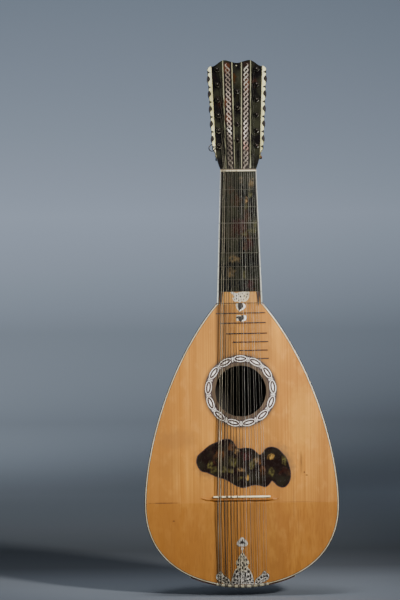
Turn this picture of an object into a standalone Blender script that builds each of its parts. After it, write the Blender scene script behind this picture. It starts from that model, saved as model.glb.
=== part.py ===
# Bass mandolin: stave-built bowl, canted spruce soundboard, flush fingerboard,
# raked peg head with sixteen rear pegs and eight double courses of strings.
# Metres. Origin on the centre line, at the nut's speaking edge, in the plane of
# the soundboard. +Z runs up the neck, -Y is the player's front, +X is the treble side.

import bpy
import bmesh
import numpy as np
from math import asin, ceil, cos, hypot, pi, radians, sin, sqrt, tan
from mathutils import Matrix, Vector

MM = 0.001

# Fit of the glued and seated pieces
GAP = 0.3 * MM

# Body outline, seen from the front
BODY_LENGTH = 484.5 * MM
BODY_WIDTH = 330.6 * MM
WIDEST_FROM_TAIL = 140 * MM
TAIL_FULLNESS = 71 * MM
HIP_FULLNESS = 106 * MM
SHOULDER_FULLNESS = 92 * MM
NECK_FULLNESS = 130 * MM
NECK_FLARE = radians(40.5)

# Bowl
BOWL_DEPTH = 162 * MM
TAIL_BACK_FULLNESS = 80 * MM
NECK_BACK_FLARE = radians(32)
HEEL_DEPTH = 50 * MM
STAVE_THICKNESS = 2.5 * MM
RIB_GROUPS = 9
STAVES_PER_GROUP = 3
STAVE_START = 0.06
LOWER_STATIONS = 10
UPPER_STATIONS = 7

# Soundboard and its cant behind the bridge
BOARD_THICKNESS = 2.8 * MM
CANT_BEHIND_BRIDGE = 11 * MM
CANT_ANGLE = radians(7)
BINDING_WIDTH = 2.3 * MM

# Soundhole and rosette
SOUNDHOLE_FROM_JOINT = 150.5 * MM
SOUNDHOLE_RADIUS = 43.5 * MM
ROSETTE_WIDTH = 18 * MM
ROSETTE_THICKNESS = 1.2 * MM
INLAY_BED = 0.3 * MM
MEDALLIONS = 13
SIDES_PER_MEDALLION = 3
MEDALLION_LENGTH = 21 * MM
MEDALLION_WIDTH = 11 * MM
MEDALLION_RISE = 0.4 * MM

# Bridge and strings
STRING_LENGTH = 552 * MM
BRIDGE_LENGTH = 133 * MM
BRIDGE_BODY_LENGTH = 100 * MM
BRIDGE_WIDTH = 9 * MM
BRIDGE_HEIGHT = 7 * MM
BRIDGE_TIP_SIZE = 1.8 * MM
BRIDGE_TIP_DROP = 3 * MM
SADDLE_LENGTH = 97 * MM
SADDLE_THICKNESS = 3.7 * MM
SADDLE_HEIGHT = 4.2 * MM
COURSES = 8
BASS_DIAMETER = 1.3 * MM
TREBLE_DIAMETER = 0.45 * MM
BRIDGE_SPREAD = 81 * MM
BRIDGE_PAIR = 4.2 * MM
NUT_SPREAD = 50 * MM
NUT_PAIR = 2.8 * MM

# Neck, fingerboard and nut
NECK_SIDES = 12
HEAD_SIDES = 16
NUT_HALF_WIDTH = 30.5 * MM
JOINT_HALF_WIDTH = 38.4 * MM
NUT_THICKNESS = 3.5 * MM
NUT_HEIGHT = 2.4 * MM
BOARD_PLATE = 2.5 * MM
NECK_TOP_DEPTH = 20 * MM
NECK_BASE_DEPTH = 25 * MM
HEEL_LENGTH = 62 * MM
NECK_FRETS = 9
LAST_FRET = 15
FRET_WIDTH = 1.4 * MM
FRET_HEIGHT = 1.0 * MM
FRET_MARGIN = 2.2 * MM
FRET_PAST_JOINT = 1.1 * MM
BOARD_FRET_WIDTH = 2 * MM
BOARD_FRET_RIGHT = 45.5 * MM
BOARD_FRET_LEFT = 42.8 * MM
BOARD_FRET_STEP = 10.1 * MM
BOARD_FRET_SLANT = radians(0.5)

# Peg head
HEAD_TILT = radians(17)
HEAD_FACE_DROP = 0.5 * MM
HEAD_LENGTH = 186 * MM
HEAD_THICKNESS = 15 * MM
HEAD_ROOT_LENGTH = 24 * MM
HEAD_LOW_HALF_WIDTH = 36.4 * MM
HEAD_TOP_HALF_WIDTH = 43.4 * MM
HUMP_RISE = 9 * MM
DIP_RISE = 4.8 * MM
HUMP_AT = 0.5
EDGE_WIDTH = 7.6 * MM
EDGE_THICKNESS = 8 * MM
SCALLOPS = 6
SCALLOP_DEPTH = 2.2 * MM
SCALLOP_STEPS = 6
SCALLOP_SHIFT = 0.5

# Pegs
SIDE_PEGS = 6
MIDDLE_PEGS = 4
SIDE_PEG_START = 40 * MM
SIDE_PEG_PITCH = 27.8 * MM
SIDE_PEG_LOW_X = 32 * MM
SIDE_PEG_TOP_X = 34 * MM
MIDDLE_PEG_START = 50 * MM
MIDDLE_PEG_PITCH = 29.5 * MM
PEG_TIP = 9 * MM
PEG_TIP_RADIUS = 3.2 * MM
PEG_BACK_RADIUS = 4.1 * MM
PEG_CLEARANCE = 0.35 * MM
PEG_NECK = 12 * MM
PEG_COLLAR_RADIUS = 5.6 * MM
THUMB_LENGTH = 28 * MM
THUMB_WIDTH = 24 * MM
THUMB_THICKNESS = 6.4 * MM
PEG_SIDES = 8
PEG_FIRST_TURN = radians(120)
PEG_TURN_STEP = radians(-83)

# Windings on the pegs
WIND_TURNS = 2
WIND_POINTS = 12
WIND_SPACE = 0.6 * MM
WIND_LEVEL = 5.6 * MM
LOW_WIND_LEVEL = 4.0 * MM
HIGH_WIND_LEVEL = 6.2 * MM
WIND_CLEARANCE = 0.35 * MM

# Tail
CAP_THICKNESS = 1.5 * MM
CAP_REACH = 0.4
GUARD_REACH = 0.2
GUARD_STATIONS = 9
PIN_RADIUS = 1.6 * MM
PIN_HEAD_RADIUS = 2.5 * MM
PIN_HEAD_LENGTH = 1.2 * MM
PIN_SETBACK = 56 * MM
PIN_SIDES = 8
HOOK_POINTS = 5
HOOK_TAIL = 2 * MM

# Blocks and braces inside the bowl
TAIL_BLOCK_WIDTH = 130 * MM
TAIL_BLOCK_DEPTH = 72 * MM
TAIL_BLOCK_HEIGHT = 26 * MM
NECK_BLOCK_HEIGHT = 36 * MM
BRACE_WIDTH = 6 * MM
BRACE_HEIGHT = 14 * MM
BRACE_END_HEIGHT = 5 * MM
BRACE_TAPER = 28 * MM
BRACE_CLEARANCE = 10 * MM

# Scratchplate and tail ornament
PLATE_THICKNESS = 0.9 * MM
PLATE_RISE = 0.2 * MM
PLATE_DROP = 3.2 * MM
ORNAMENT_THICKNESS = 0.8 * MM
ORNAMENT_MARGIN = 4.2 * MM

# Outline of the scratchplate about its own centre, clockwise from the left spur
PLATE_CURVE = (
    (-75, 12), (-72, 17), (-66, 22), (-58, 29), (-50, 34), (-40, 37.5), (-33, 41), (-23, 42.5), (-15, 39),
    (-10, 31), (-4, 26), (8, 27), (18, 25.5), (25, 20), (31, 15), (36, 18), (41, 25), (48, 28), (56, 27.5),
    (64, 23.5), (71, 16), (77, 8), (81, -4), (83.5, -16), (82.5, -28), (77, -37.5), (69.5, -41),
    (61, -38), (55, -32), (51, -30), (46.5, -36), (40, -40), (31, -37.5), (21, -36.5), (11, -39), (2, -41),
    (-8, -38), (-18, -32), (-30, -25.5), (-42, -22), (-51, -18), (-59, -14.5), (-67, -12.5), (-73, -6.5),
    (-76.5, 3),
)

# Right half of the tail ornament from the edge of the board up to its point
ORNAMENT_HALF = (
    (24, 0), (33, 1), (42, 6), (46, 15), (38, 21), (30, 15), (25, 7), (20, 5), (20, 13), (16, 22),
    (12.5, 31), (12, 39), (8, 48), (3.4, 57), (2, 62), (2.8, 65), (2, 68), (6, 70), (9.6, 73),
    (6, 80),
)
ORNAMENT_TOP = 85
ORNAMENT_HOLES = (
    (0, 74.5, 4.4, 1.3), (0, 49, 1.1, 4.5), (4, 41, 1.5, 3), (5.6, 30, 1.6, 3.4), (0, 33, 1.3, 4),
    (4.5, 17, 1.7, 4), (11, 12, 1.8, 4), (36, 10.5, 2.6, 2.2),
)


def fret_z(number):
    return -STRING_LENGTH * (1 - 2 ** (-number / 12))


# Heights along the centre line
JOINT_Z = fret_z(NECK_FRETS) + FRET_PAST_JOINT
BOARD_TOP = fret_z(NECK_FRETS) - FRET_MARGIN
TAIL_Z = JOINT_Z - BODY_LENGTH
WIDEST_Z = TAIL_Z + WIDEST_FROM_TAIL
BRIDGE_Z = -STRING_LENGTH
CANT_Z = BRIDGE_Z - CANT_BEHIND_BRIDGE
SOUNDHOLE_Z = JOINT_Z - SOUNDHOLE_FROM_JOINT

# Levels and offsets shared by neighbours
ROSETTE_RADIUS = SOUNDHOLE_RADIUS + ROSETTE_WIDTH
RIM_DROP = BOARD_THICKNESS + GAP
NECK_FACE = BOARD_PLATE + GAP
CAP_OUT = CAP_THICKNESS + GAP
SADDLE_TOP = 2 * GAP + BRIDGE_HEIGHT + SADDLE_HEIGHT
PIN_LENGTH = 2 * BASS_DIAMETER + 6 * GAP + 1.6 * PIN_HEAD_LENGTH
HEAD_ROOT_DEPTH = (NECK_FACE + NECK_TOP_DEPTH - HEAD_FACE_DROP) / cos(HEAD_TILT)
HEAD_FRAME = Matrix.Translation((0, HEAD_FACE_DROP, NUT_THICKNESS + GAP)) @ Matrix.Rotation(-HEAD_TILT, 4, "X")


# Materials

def material(name, color, roughness, metallic=0.0):
    made = bpy.data.materials.new(name)
    made.use_nodes = True
    made.diffuse_color = (*color, 1)
    shader = made.node_tree.nodes["Principled BSDF"]
    shader.inputs["Base Color"].default_value = (*color, 1)
    shader.inputs["Roughness"].default_value = roughness
    shader.inputs["Metallic"].default_value = metallic
    return made


def make_materials():
    return {
        "spruce": material("spruce", (0.56, 0.30, 0.11), 0.45),
        "maple": material("maple", (0.36, 0.15, 0.05), 0.35),
        "neck_wood": material("neck_wood", (0.05, 0.03, 0.02), 0.4),
        "linden": material("linden", (0.45, 0.30, 0.16), 0.6),
        "tortoiseshell": material("tortoiseshell", (0.045, 0.018, 0.012), 0.2),
        "bone": material("bone", (0.78, 0.74, 0.55), 0.35),
        "pearl": material("pearl", (0.72, 0.70, 0.66), 0.25),
        "brass": material("brass", (0.55, 0.42, 0.17), 0.3, 1.0),
        "steel": material("steel", (0.62, 0.60, 0.56), 0.25, 1.0),
        "peg_wood": material("peg_wood", (0.10, 0.045, 0.02), 0.35),
    }


# Mesh making

def finish_mesh(name, bm, surface, smooth_below=None):
    """Object from a closed bmesh, with its faces pointing out."""
    bmesh.ops.remove_doubles(bm, verts=bm.verts, dist=1e-6)
    bmesh.ops.dissolve_degenerate(bm, edges=bm.edges, dist=1e-6)
    bmesh.ops.recalc_face_normals(bm, faces=bm.faces)
    mesh = bpy.data.meshes.new(name)
    bm.to_mesh(mesh)
    bm.free()
    if surface is not None:
        mesh.materials.append(surface)
    if smooth_below is not None:
        mesh.shade_smooth()
        mesh.set_sharp_from_angle(angle=smooth_below)
    obj = bpy.data.objects.new(name, mesh)
    bpy.context.scene.collection.objects.link(obj)
    return obj


def skin_rings(bm, rings, closed=False):
    """Quads between rings of vertices, each ring closed on itself."""
    pairs = list(zip(rings, rings[1:]))
    if closed:
        pairs.append((rings[-1], rings[0]))
    for low, high in pairs:
        for i in range(len(low)):
            j = (i + 1) % len(low)
            bm.faces.new((low[i], low[j], high[j], high[i]))


def loft(name, sections, surface, smooth_below=None, backed=0):
    """Closed solid through like sections, with a cap on each end, ruled from front to back if it is backed."""
    bm = bmesh.new()
    rings = [[bm.verts.new(point) for point in section] for section in sections]
    skin_rings(bm, rings)
    for ring in (rings[0], rings[-1]):
        if not backed:
            bm.faces.new(ring)
            continue
        back = [ring[0]] + ring[:backed:-1] + [ring[backed]]
        for i in range(backed):
            bm.faces.new(list(dict.fromkeys((ring[i], ring[i + 1], back[i + 1], back[i]))))
    return finish_mesh(name, bm, surface, smooth_below)


def shell(name, outer, inner, surface, smooth_below=None):
    """Wall between two grids of points, each a row of points for each station."""
    bm = bmesh.new()
    out = [[bm.verts.new(point) for point in row] for row in outer]
    inn = [[bm.verts.new(point) for point in row] for row in inner]
    for a in range(len(out) - 1):
        for b in range(len(out[0]) - 1):
            bm.faces.new((out[a][b], out[a][b + 1], out[a + 1][b + 1], out[a + 1][b]))
            bm.faces.new((inn[a][b], inn[a + 1][b], inn[a + 1][b + 1], inn[a][b + 1]))
        for b in (0, -1):
            bm.faces.new((out[a][b], out[a + 1][b], inn[a + 1][b], inn[a][b]))
    for b in range(len(out[0]) - 1):
        for a in (0, -1):
            bm.faces.new((out[a][b], out[a][b + 1], inn[a][b + 1], inn[a][b]))
    return finish_mesh(name, bm, surface, smooth_below)


def plate(name, outline, front, thickness, surface, holes=()):
    """Flat plate from outlines in X and Z, its front face at the given Y."""
    bm = bmesh.new()
    for loop in (outline, *holes):
        verts = [bm.verts.new((x, front, z)) for x, z in loop]
        for i, vert in enumerate(verts):
            bm.edges.new((vert, verts[(i + 1) % len(verts)]))
    bmesh.ops.triangle_fill(bm, use_beauty=True, edges=bm.edges, normal=(0, -1, 0))
    faces = bmesh.ops.extrude_face_region(bm, geom=bm.faces)
    moved = [item for item in faces["geom"] if isinstance(item, bmesh.types.BMVert)]
    bmesh.ops.translate(bm, verts=moved, vec=(0, thickness, 0))
    return finish_mesh(name, bm, surface)


def join(name, objects, surface):
    """One object from several, moved into the first frame of the scene."""
    bm = bmesh.new()
    for obj in objects:
        obj.data.transform(obj.matrix_basis)
        bm.from_mesh(obj.data)
        bpy.data.objects.remove(obj)
    mesh = bpy.data.meshes.new(name)
    bm.to_mesh(mesh)
    bm.free()
    if surface is not None:
        mesh.materials.append(surface)
    joined = bpy.data.objects.new(name, mesh)
    bpy.context.scene.collection.objects.link(joined)
    return joined


def boolean(obj, helper, operation):
    """Cut or add a helper, which is left out of the model itself."""
    modifier = obj.modifiers.new(helper.name, "BOOLEAN")
    modifier.object = helper
    modifier.operation = operation
    modifier.solver = "EXACT"
    helper.hide_render = True
    helper.display_type = "WIRE"


def ellipse(center_x, center_z, half_x, half_z, count, turn=0.0):
    """Points round an ellipse in X and Z."""
    points = []
    for i in range(count):
        a = 2 * pi * i / count
        u, v = half_x * cos(a), half_z * sin(a)
        points.append((center_x + u * cos(turn) - v * sin(turn), center_z + u * sin(turn) + v * cos(turn)))
    return points


def smooth_loop(points, steps):
    """Closed curve through hand-placed points, in real size."""
    count = len(points)
    result = []
    for i in range(count):
        a, b, c, d = (Vector(points[(i + k) % count]) * MM for k in (-1, 0, 1, 2))
        for step in range(steps):
            t = step / steps
            result.append(0.5 * ((2 * b) + (c - a) * t + (2 * a - 5 * b + 4 * c - d) * t ** 2
                                 + (3 * b - a - 3 * c + d) * t ** 3))
    return result


def grown(outline, distance):
    """Outline moved outwards by a distance, for the bed of an inlay."""
    area = sum(a[0] * b[1] - b[0] * a[1] for a, b in zip(outline, outline[1:] + outline[:1]))
    out = 1 if area > 0 else -1
    result = []
    for i, point in enumerate(outline):
        before = Vector(point) - Vector(outline[i - 1])
        after = Vector(outline[(i + 1) % len(outline)]) - Vector(point)
        along = before.normalized() + after.normalized()
        normal = Vector((along.y, -along.x)).normalized() * out
        result.append(tuple(Vector(point) + normal * distance))
    return result


# Shape of the body

def cubic(a, b, c, d, t):
    s = 1 - t
    return s ** 3 * a + 3 * s ** 2 * t * b + 3 * s * t ** 2 * c + t ** 3 * d


def body_curve(t):
    """Half width, bowl depth and height: 0 at the tail, 1 at the widest place, 2 at the neck."""
    half = BODY_WIDTH / 2
    if t <= 1:
        width = cubic(0, TAIL_FULLNESS, half, half, t)
        depth = cubic(0, TAIL_BACK_FULLNESS, BOWL_DEPTH, BOWL_DEPTH, t)
        return width, depth, cubic(TAIL_Z, TAIL_Z, WIDEST_Z - HIP_FULLNESS, WIDEST_Z, t)
    u = t - 1
    side = JOINT_HALF_WIDTH + NECK_FULLNESS * sin(NECK_FLARE)
    back = HEEL_DEPTH + NECK_FULLNESS * sin(NECK_BACK_FLARE)
    width = cubic(half, half, side, JOINT_HALF_WIDTH, u)
    depth = cubic(BOWL_DEPTH, BOWL_DEPTH, back, HEEL_DEPTH, u)
    high = WIDEST_Z + SHOULDER_FULLNESS
    return width, depth, cubic(WIDEST_Z, high, JOINT_Z - NECK_FULLNESS * cos(NECK_FLARE), JOINT_Z, u)


def station_at(z):
    """Place on the body curve that has this height."""
    low, high = 0.0, 2.0
    for _ in range(50):
        middle = (low + high) / 2
        if body_curve(middle)[2] < z:
            low = middle
        else:
            high = middle
    return (low + high) / 2


def stations(start):
    """Places where every piece of the body has a section, the crease of the soundboard among them."""
    found = [start] + [i / LOWER_STATIONS for i in range(1, LOWER_STATIONS)]
    found += [1 + i / UPPER_STATIONS for i in range(UPPER_STATIONS + 1)]
    crease = station_at(CANT_Z)
    return sorted([t for t in found if abs(t - crease) > 0.02 or t in (start, 2)] + [crease])


def rim_y(z):
    """Front face of the soundboard: flat above the crease, sloping back below it."""
    return max(CANT_Z - z, 0) * tan(CANT_ANGLE)


def bowl_point(t, phi, out=0.0):
    """Point on the outer face of the bowl, or that far outside it."""
    def place(s, angle):
        width, depth, z = body_curve(s)
        return Vector((width * cos(angle), rim_y(z) + RIM_DROP + depth * sin(angle), z))
    if not out:
        return place(t, phi)
    s, step = min(max(t, 0.01), 1.999), 1e-4
    along = place(s + step, phi) - place(s - step, phi)
    across = place(s, phi + step) - place(s, phi - step)
    return place(t, phi) + across.cross(along).normalized() * out


def bowl_row(t, angles, out=0.0):
    return [bowl_point(t, phi, out) for phi in angles]


def tail_surface(x, back):
    """Height of the bowl's outer face at the tail, at this distance behind the rim."""
    low, high = 0.001, 1.0
    for _ in range(40):
        middle = (low + high) / 2
        width, depth, _z = body_curve(middle)
        if hypot(x / width, back / depth) > 1:
            low = middle
        else:
            high = middle
    return body_curve(high)[2]


def edge_point(t, out):
    """Point of the right-hand outline in X and Z, moved outwards in the plane of the soundboard."""
    s, step = min(max(t, 0.001), 1.999), 1e-3
    (wa, _da, za), (wb, _db, zb) = body_curve(s - step), body_curve(s + step)
    length = hypot(wb - wa, zb - za)
    width, _depth, z = body_curve(t)
    return width + out * (zb - za) / length, z - out * (wb - wa) / length


def edge_path(out, top):
    """Right-hand outline from the tail up to a level cut across the board."""
    end = station_at(top)
    points = [edge_point(t, out) for t in stations(0.0) if t < end]
    points = [(x, z) for x, z in points if z < top - 1 * MM]
    points[0] = (0.0, points[0][1])
    x, z = edge_point(end, out)
    last_x, last_z = points[-1]
    points.append((last_x + (x - last_x) * (top - last_z) / (z - last_z), top))
    return points


def mirrored(right):
    """Whole outline from its right half, which starts on the centre line."""
    return right + [(-x, z) for x, z in reversed(right[1:])]


def canted(obj):
    """Bend a flat plate back along the crease of the soundboard."""
    bm = bmesh.new()
    bm.from_mesh(obj.data)
    geometry = bm.verts[:] + bm.edges[:] + bm.faces[:]
    bmesh.ops.bisect_plane(bm, geom=geometry, dist=1e-7, plane_co=(0, 0, CANT_Z), plane_no=(0, 0, 1))
    for vert in bm.verts:
        vert.co.y += rim_y(vert.co.z)
    bm.to_mesh(obj.data)
    bm.free()
    return obj


# Bowl: staves bent over the blocks and glued edge to edge, three to a node

def make_ribs(surface):
    places = stations(STAVE_START)
    share = pi / RIB_GROUPS
    for group in range(RIB_GROUPS):
        outer, inner = [], []
        for t in places:
            step = 1e-3
            angles = [share * (group + i / STAVES_PER_GROUP) for i in range(STAVES_PER_GROUP + 1)]
            for end, way in ((0, 1), (-1, -1)):
                if 0 < angles[end] < pi - 1e-9:
                    reach = (bowl_point(t, angles[end] + step) - bowl_point(t, angles[end])).length / step
                    angles[end] += way * GAP / 2 / reach
            outer.append(bowl_row(t, angles))
            inner.append(bowl_row(t, angles, -STAVE_THICKNESS))
        shell(f"bowl_ribs_{group + 1}", outer, inner, surface)


def inside_section(t, level=None):
    """Section that fills the bowl at one station, clear of the staves and of the soundboard."""
    count = RIB_GROUPS * STAVES_PER_GROUP
    angles = [pi * i / count for i in range(count + 1)]
    points = bowl_row(t, angles, -STAVE_THICKNESS - GAP)
    if level is not None:
        points = [Vector((point.x, point.y, level)) for point in points]
    return points


def trim(block, half, low, high, front, depth):
    """Keep the part of a block that lies inside a box."""
    corners = [(-half, low), (half, low), (half, high), (-half, high)]
    boolean(block, plate(f"{block.name}_trim", corners, front, depth, None), "INTERSECT")


def make_tail_block(surface):
    high = TAIL_Z + TAIL_BLOCK_HEIGHT
    top = station_at(high)
    places = [t for t in stations(STAVE_START) if t < top]
    places.append(min(t for t in stations(STAVE_START) if t > top))
    block = loft("tail_block", [inside_section(t) for t in places], surface)
    front = rim_y(TAIL_Z) - TAIL_BLOCK_DEPTH / 2
    trim(block, TAIL_BLOCK_WIDTH / 2, TAIL_Z - CAP_OUT, high, front, 1.5 * TAIL_BLOCK_DEPTH)


def make_neck_block(surface):
    low = JOINT_Z - NECK_BLOCK_HEIGHT
    base = station_at(low)
    places = [max(t for t in stations(STAVE_START) if t < base)]
    places += [t for t in stations(STAVE_START) if t > base]
    sections = [inside_section(t) for t in places]
    sections.append(inside_section(2, JOINT_Z))
    block = loft("neck_block", sections, surface)
    trim(block, BODY_WIDTH / 2, low, JOINT_Z + GAP, 0, BOWL_DEPTH)


# Soundboard

def circle(radius):
    return ellipse(0, SOUNDHOLE_Z, radius, radius, MEDALLIONS * SIDES_PER_MEDALLION, pi / 2)


def scratchplate_outline():
    middle = Vector((0, (SOUNDHOLE_Z - ROSETTE_RADIUS + BRIDGE_Z) / 2 - PLATE_DROP))
    return [tuple(point + middle) for point in smooth_loop(PLATE_CURVE, 1)]


def board_fret(number):
    """Corners of a wooden fret on the soundboard, stopped short of the rosette."""
    z = fret_z(number)
    left = -BOARD_FRET_LEFT + BOARD_FRET_STEP * (number - NECK_FRETS - 1)
    reach = ROSETTE_RADIUS + BOARD_FRET_WIDTH
    away = abs(z - SOUNDHOLE_Z) - BOARD_FRET_WIDTH
    if away < reach:
        left = max(left, sqrt(reach ** 2 - away ** 2))
    slope = tan(BOARD_FRET_SLANT)
    half = BOARD_FRET_WIDTH / 2
    return [(x, z + x * slope + rise) for x, rise in (
        (left, -half), (BOARD_FRET_RIGHT, -half), (BOARD_FRET_RIGHT, half), (left, half))]


def make_soundboard(surface):
    right = edge_path(-BINDING_WIDTH - GAP, BOARD_TOP - GAP)
    board = canted(plate("soundboard", mirrored(right), 0, BOARD_THICKNESS, surface))
    over = BOARD_THICKNESS
    hole = plate("soundhole_cut", circle(SOUNDHOLE_RADIUS), -over, 3 * over, None)
    bed = ROSETTE_THICKNESS + INLAY_BED
    ring = plate("rosette_bed", circle(ROSETTE_RADIUS + GAP), -over, over + bed, None)
    inlay = PLATE_THICKNESS - PLATE_RISE + INLAY_BED
    shape = grown(scratchplate_outline(), GAP)
    recess = plate("scratchplate_bed", shape, -over, over + inlay, None)
    bars = []
    for number in range(NECK_FRETS + 1, LAST_FRET + 1):
        bars.append(plate(f"bar_{number}", board_fret(number), -FRET_HEIGHT, 2 * FRET_HEIGHT, None))
    boolean(board, join("board_frets", bars, None), "UNION")
    boolean(board, hole, "DIFFERENCE")
    boolean(board, ring, "DIFFERENCE")
    boolean(board, recess, "DIFFERENCE")


def make_binding(surface):
    """Strip let in round the edge of the soundboard, from one side of the neck to the other."""
    right_out = edge_path(0.0, BOARD_TOP - GAP)
    right_in = edge_path(-BINDING_WIDTH, BOARD_TOP - GAP)
    count = min(len(right_out), len(right_in))
    outer = mirrored(right_out[:count - 1] + right_out[-1:])
    inner = mirrored(right_in[:count - 1] + right_in[-1:])
    middle = len(outer) // 2
    order = list(range(middle + 1, len(outer))) + list(range(middle + 1))
    sections = []
    for i in order:
        (xo, zo), (xi, zi) = outer[i], inner[i]
        yo, yi = rim_y(zo), rim_y(zi)
        sections.append([Vector((xo, yo, zo)), Vector((xi, yi, zi)),
                         Vector((xi, yi + BOARD_THICKNESS, zi)), Vector((xo, yo + BOARD_THICKNESS, zo))])
    loft("edge_binding", sections, surface)


def make_rosette(surface):
    outer, inner = circle(ROSETTE_RADIUS), circle(SOUNDHOLE_RADIUS)
    ring = plate("rosette", outer, 0, ROSETTE_THICKNESS, surface, holes=[inner])
    middle = SOUNDHOLE_RADIUS + ROSETTE_WIDTH / 2
    ovals = []
    for i in range(MEDALLIONS):
        turn = 2 * pi * i / MEDALLIONS
        x, z = middle * sin(turn), SOUNDHOLE_Z + middle * cos(turn)
        shape = ellipse(x, z, MEDALLION_LENGTH / 2, MEDALLION_WIDTH / 2, 8, -turn)
        ovals.append(plate(f"oval_{i}", shape, -MEDALLION_RISE, MEDALLION_RISE + ROSETTE_THICKNESS / 2, None))
    boolean(ring, join("medallions", ovals, None), "UNION")


def make_braces(surface):
    """Two bars across the underside of the soundboard, one on each side of the soundhole."""
    away = ROSETTE_RADIUS + BRACE_WIDTH
    for name, z in (("brace_upper", SOUNDHOLE_Z + away), ("brace_lower", SOUNDHOLE_Z - away)):
        front = BOARD_THICKNESS + GAP
        half = body_curve(station_at(z + BRACE_WIDTH / 2))[0]
        if z < SOUNDHOLE_Z:
            half = body_curve(station_at(z - BRACE_WIDTH / 2))[0]
        half -= BRACE_CLEARANCE
        sections = []
        for x, height in ((-half, BRACE_END_HEIGHT), (-half + BRACE_TAPER, BRACE_HEIGHT),
                          (half - BRACE_TAPER, BRACE_HEIGHT), (half, BRACE_END_HEIGHT)):
            low, high = z - BRACE_WIDTH / 2, z + BRACE_WIDTH / 2
            crown = BRACE_WIDTH / 4
            sections.append([Vector((x, front, low)), Vector((x, front, high)),
                             Vector((x, front + height - crown, high)), Vector((x, front + height, z)),
                             Vector((x, front + height - crown, low))])
        loft(name, sections, surface)


# Bridge and saddle

def make_bridge(surface):
    """Low bar with thin tips that curl towards the tail."""
    body, whole = BRIDGE_BODY_LENGTH / 2, BRIDGE_LENGTH / 2
    center = BRIDGE_Z - (BRIDGE_WIDTH - SADDLE_THICKNESS) / 2
    shape = [(0, BRIDGE_WIDTH, BRIDGE_HEIGHT, 0), (0.55 * body, BRIDGE_WIDTH, BRIDGE_HEIGHT, 0),
             (body, BRIDGE_WIDTH, BRIDGE_HEIGHT, 0)]
    run = whole - body
    for share, size in ((0.1, 0.62), (0.35, 0.4), (0.7, 0.28), (1, 0)):
        width = BRIDGE_TIP_SIZE + (BRIDGE_WIDTH - BRIDGE_TIP_SIZE) * size * (1 - share)
        height = BRIDGE_TIP_SIZE + (BRIDGE_HEIGHT - BRIDGE_TIP_SIZE) * size * (1 - share)
        shape.append((body + run * share, width, height, BRIDGE_TIP_DROP * sin(pi * share)))
    shape = [(-x, width, height, drop) for x, width, height, drop in reversed(shape[1:])] + shape
    sections = []
    for x, width, height, drop in shape:
        low, high, back = center - drop - width / 2, center - drop + width / 2, -GAP
        lean = width / 10
        sections.append([Vector((x, back, low)), Vector((x, back - height * 0.6, low)),
                         Vector((x, back - height, low + lean)), Vector((x, back - height, high)),
                         Vector((x, back, high))])
    loft("bridge", sections, surface, radians(30))


def make_saddle(surface):
    half = SADDLE_LENGTH / 2
    back = -2 * GAP - BRIDGE_HEIGHT
    low = BRIDGE_Z - SADDLE_THICKNESS / 2
    high = BRIDGE_Z + SADDLE_THICKNESS / 2
    rounding = SADDLE_HEIGHT / 4
    sections = []
    for x, height in ((-half, SADDLE_HEIGHT - rounding), (-half + rounding, SADDLE_HEIGHT),
                      (half - rounding, SADDLE_HEIGHT), (half, SADDLE_HEIGHT - rounding)):
        sections.append([Vector((x, back, low)), Vector((x, back - height, low)),
                         Vector((x, back - height, high)), Vector((x, back, high))])
    loft("saddle", sections, surface)


# Neck, fingerboard and nut

def board_half_width(z):
    return NUT_HALF_WIDTH + (JOINT_HALF_WIDTH - NUT_HALF_WIDTH) * z / JOINT_Z


def backed_section(half, depth, power, place, count=NECK_SIDES):
    """Flat front and rounded back: power 2 is a half round, a high power is nearly square."""
    across = [-cos(pi * i / count) for i in range(count + 1)]
    points = [place(half * x, 0.0) for x in across]
    for x in reversed(across[1:-1]):
        points.append(place(half * x, depth * (1 - abs(x) ** power) ** (1 / power)))
    return points


def make_neck(surface):
    """Half-round neck that deepens into the heel and ends square to the raked head."""
    joint_depth = RIM_DROP + HEEL_DEPTH - NECK_FACE
    sections = []
    for share in (0, 0.06, 0.15, 0.28, 0.48, 0.74, 1):
        along = HEEL_LENGTH * share
        z = JOINT_Z + GAP + along
        base = NECK_BASE_DEPTH + (NECK_TOP_DEPTH - NECK_BASE_DEPTH) * along / -JOINT_Z
        depth = base + (joint_depth - base) * (1 - share) ** 2
        sections.append(backed_section(board_half_width(z), depth, 2,
                                       lambda x, y, z=z: Vector((x, NECK_FACE + y, z))))
    middle = (JOINT_Z + HEEL_LENGTH) / 2
    depth = (NECK_TOP_DEPTH + NECK_BASE_DEPTH) / 2
    sections.append(backed_section(board_half_width(middle), depth, 2,
                                   lambda x, y: Vector((x, NECK_FACE + y, middle))))
    top = NUT_THICKNESS + GAP - GAP / cos(HEAD_TILT)
    lean = tan(HEAD_TILT)
    sections.append(backed_section(
        NUT_HALF_WIDTH, NECK_TOP_DEPTH, 2,
        lambda x, y: Vector((x, NECK_FACE + y, top - (NECK_FACE + y - HEAD_FACE_DROP) * lean))))
    loft("neck", sections, surface, radians(40), NECK_SIDES)


def make_fingerboard(surface):
    """Flush plate over the neck, with the first frets standing on it."""
    profile = [(-GAP, 0.0)]
    half = FRET_WIDTH / 2
    for number in range(1, NECK_FRETS + 1):
        z = fret_z(number)
        profile += [(z + half, 0.0), (z + half / 2, -FRET_HEIGHT), (z - half / 2, -FRET_HEIGHT), (z - half, 0.0)]
    profile.append((BOARD_TOP, 0.0))
    sections = []
    for z, front in profile:
        width = board_half_width(z)
        sections.append([Vector((-width, front, z)), Vector((width, front, z)),
                         Vector((width, BOARD_PLATE, z)), Vector((-width, BOARD_PLATE, z))])
    loft("fingerboard", sections, surface)


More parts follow.
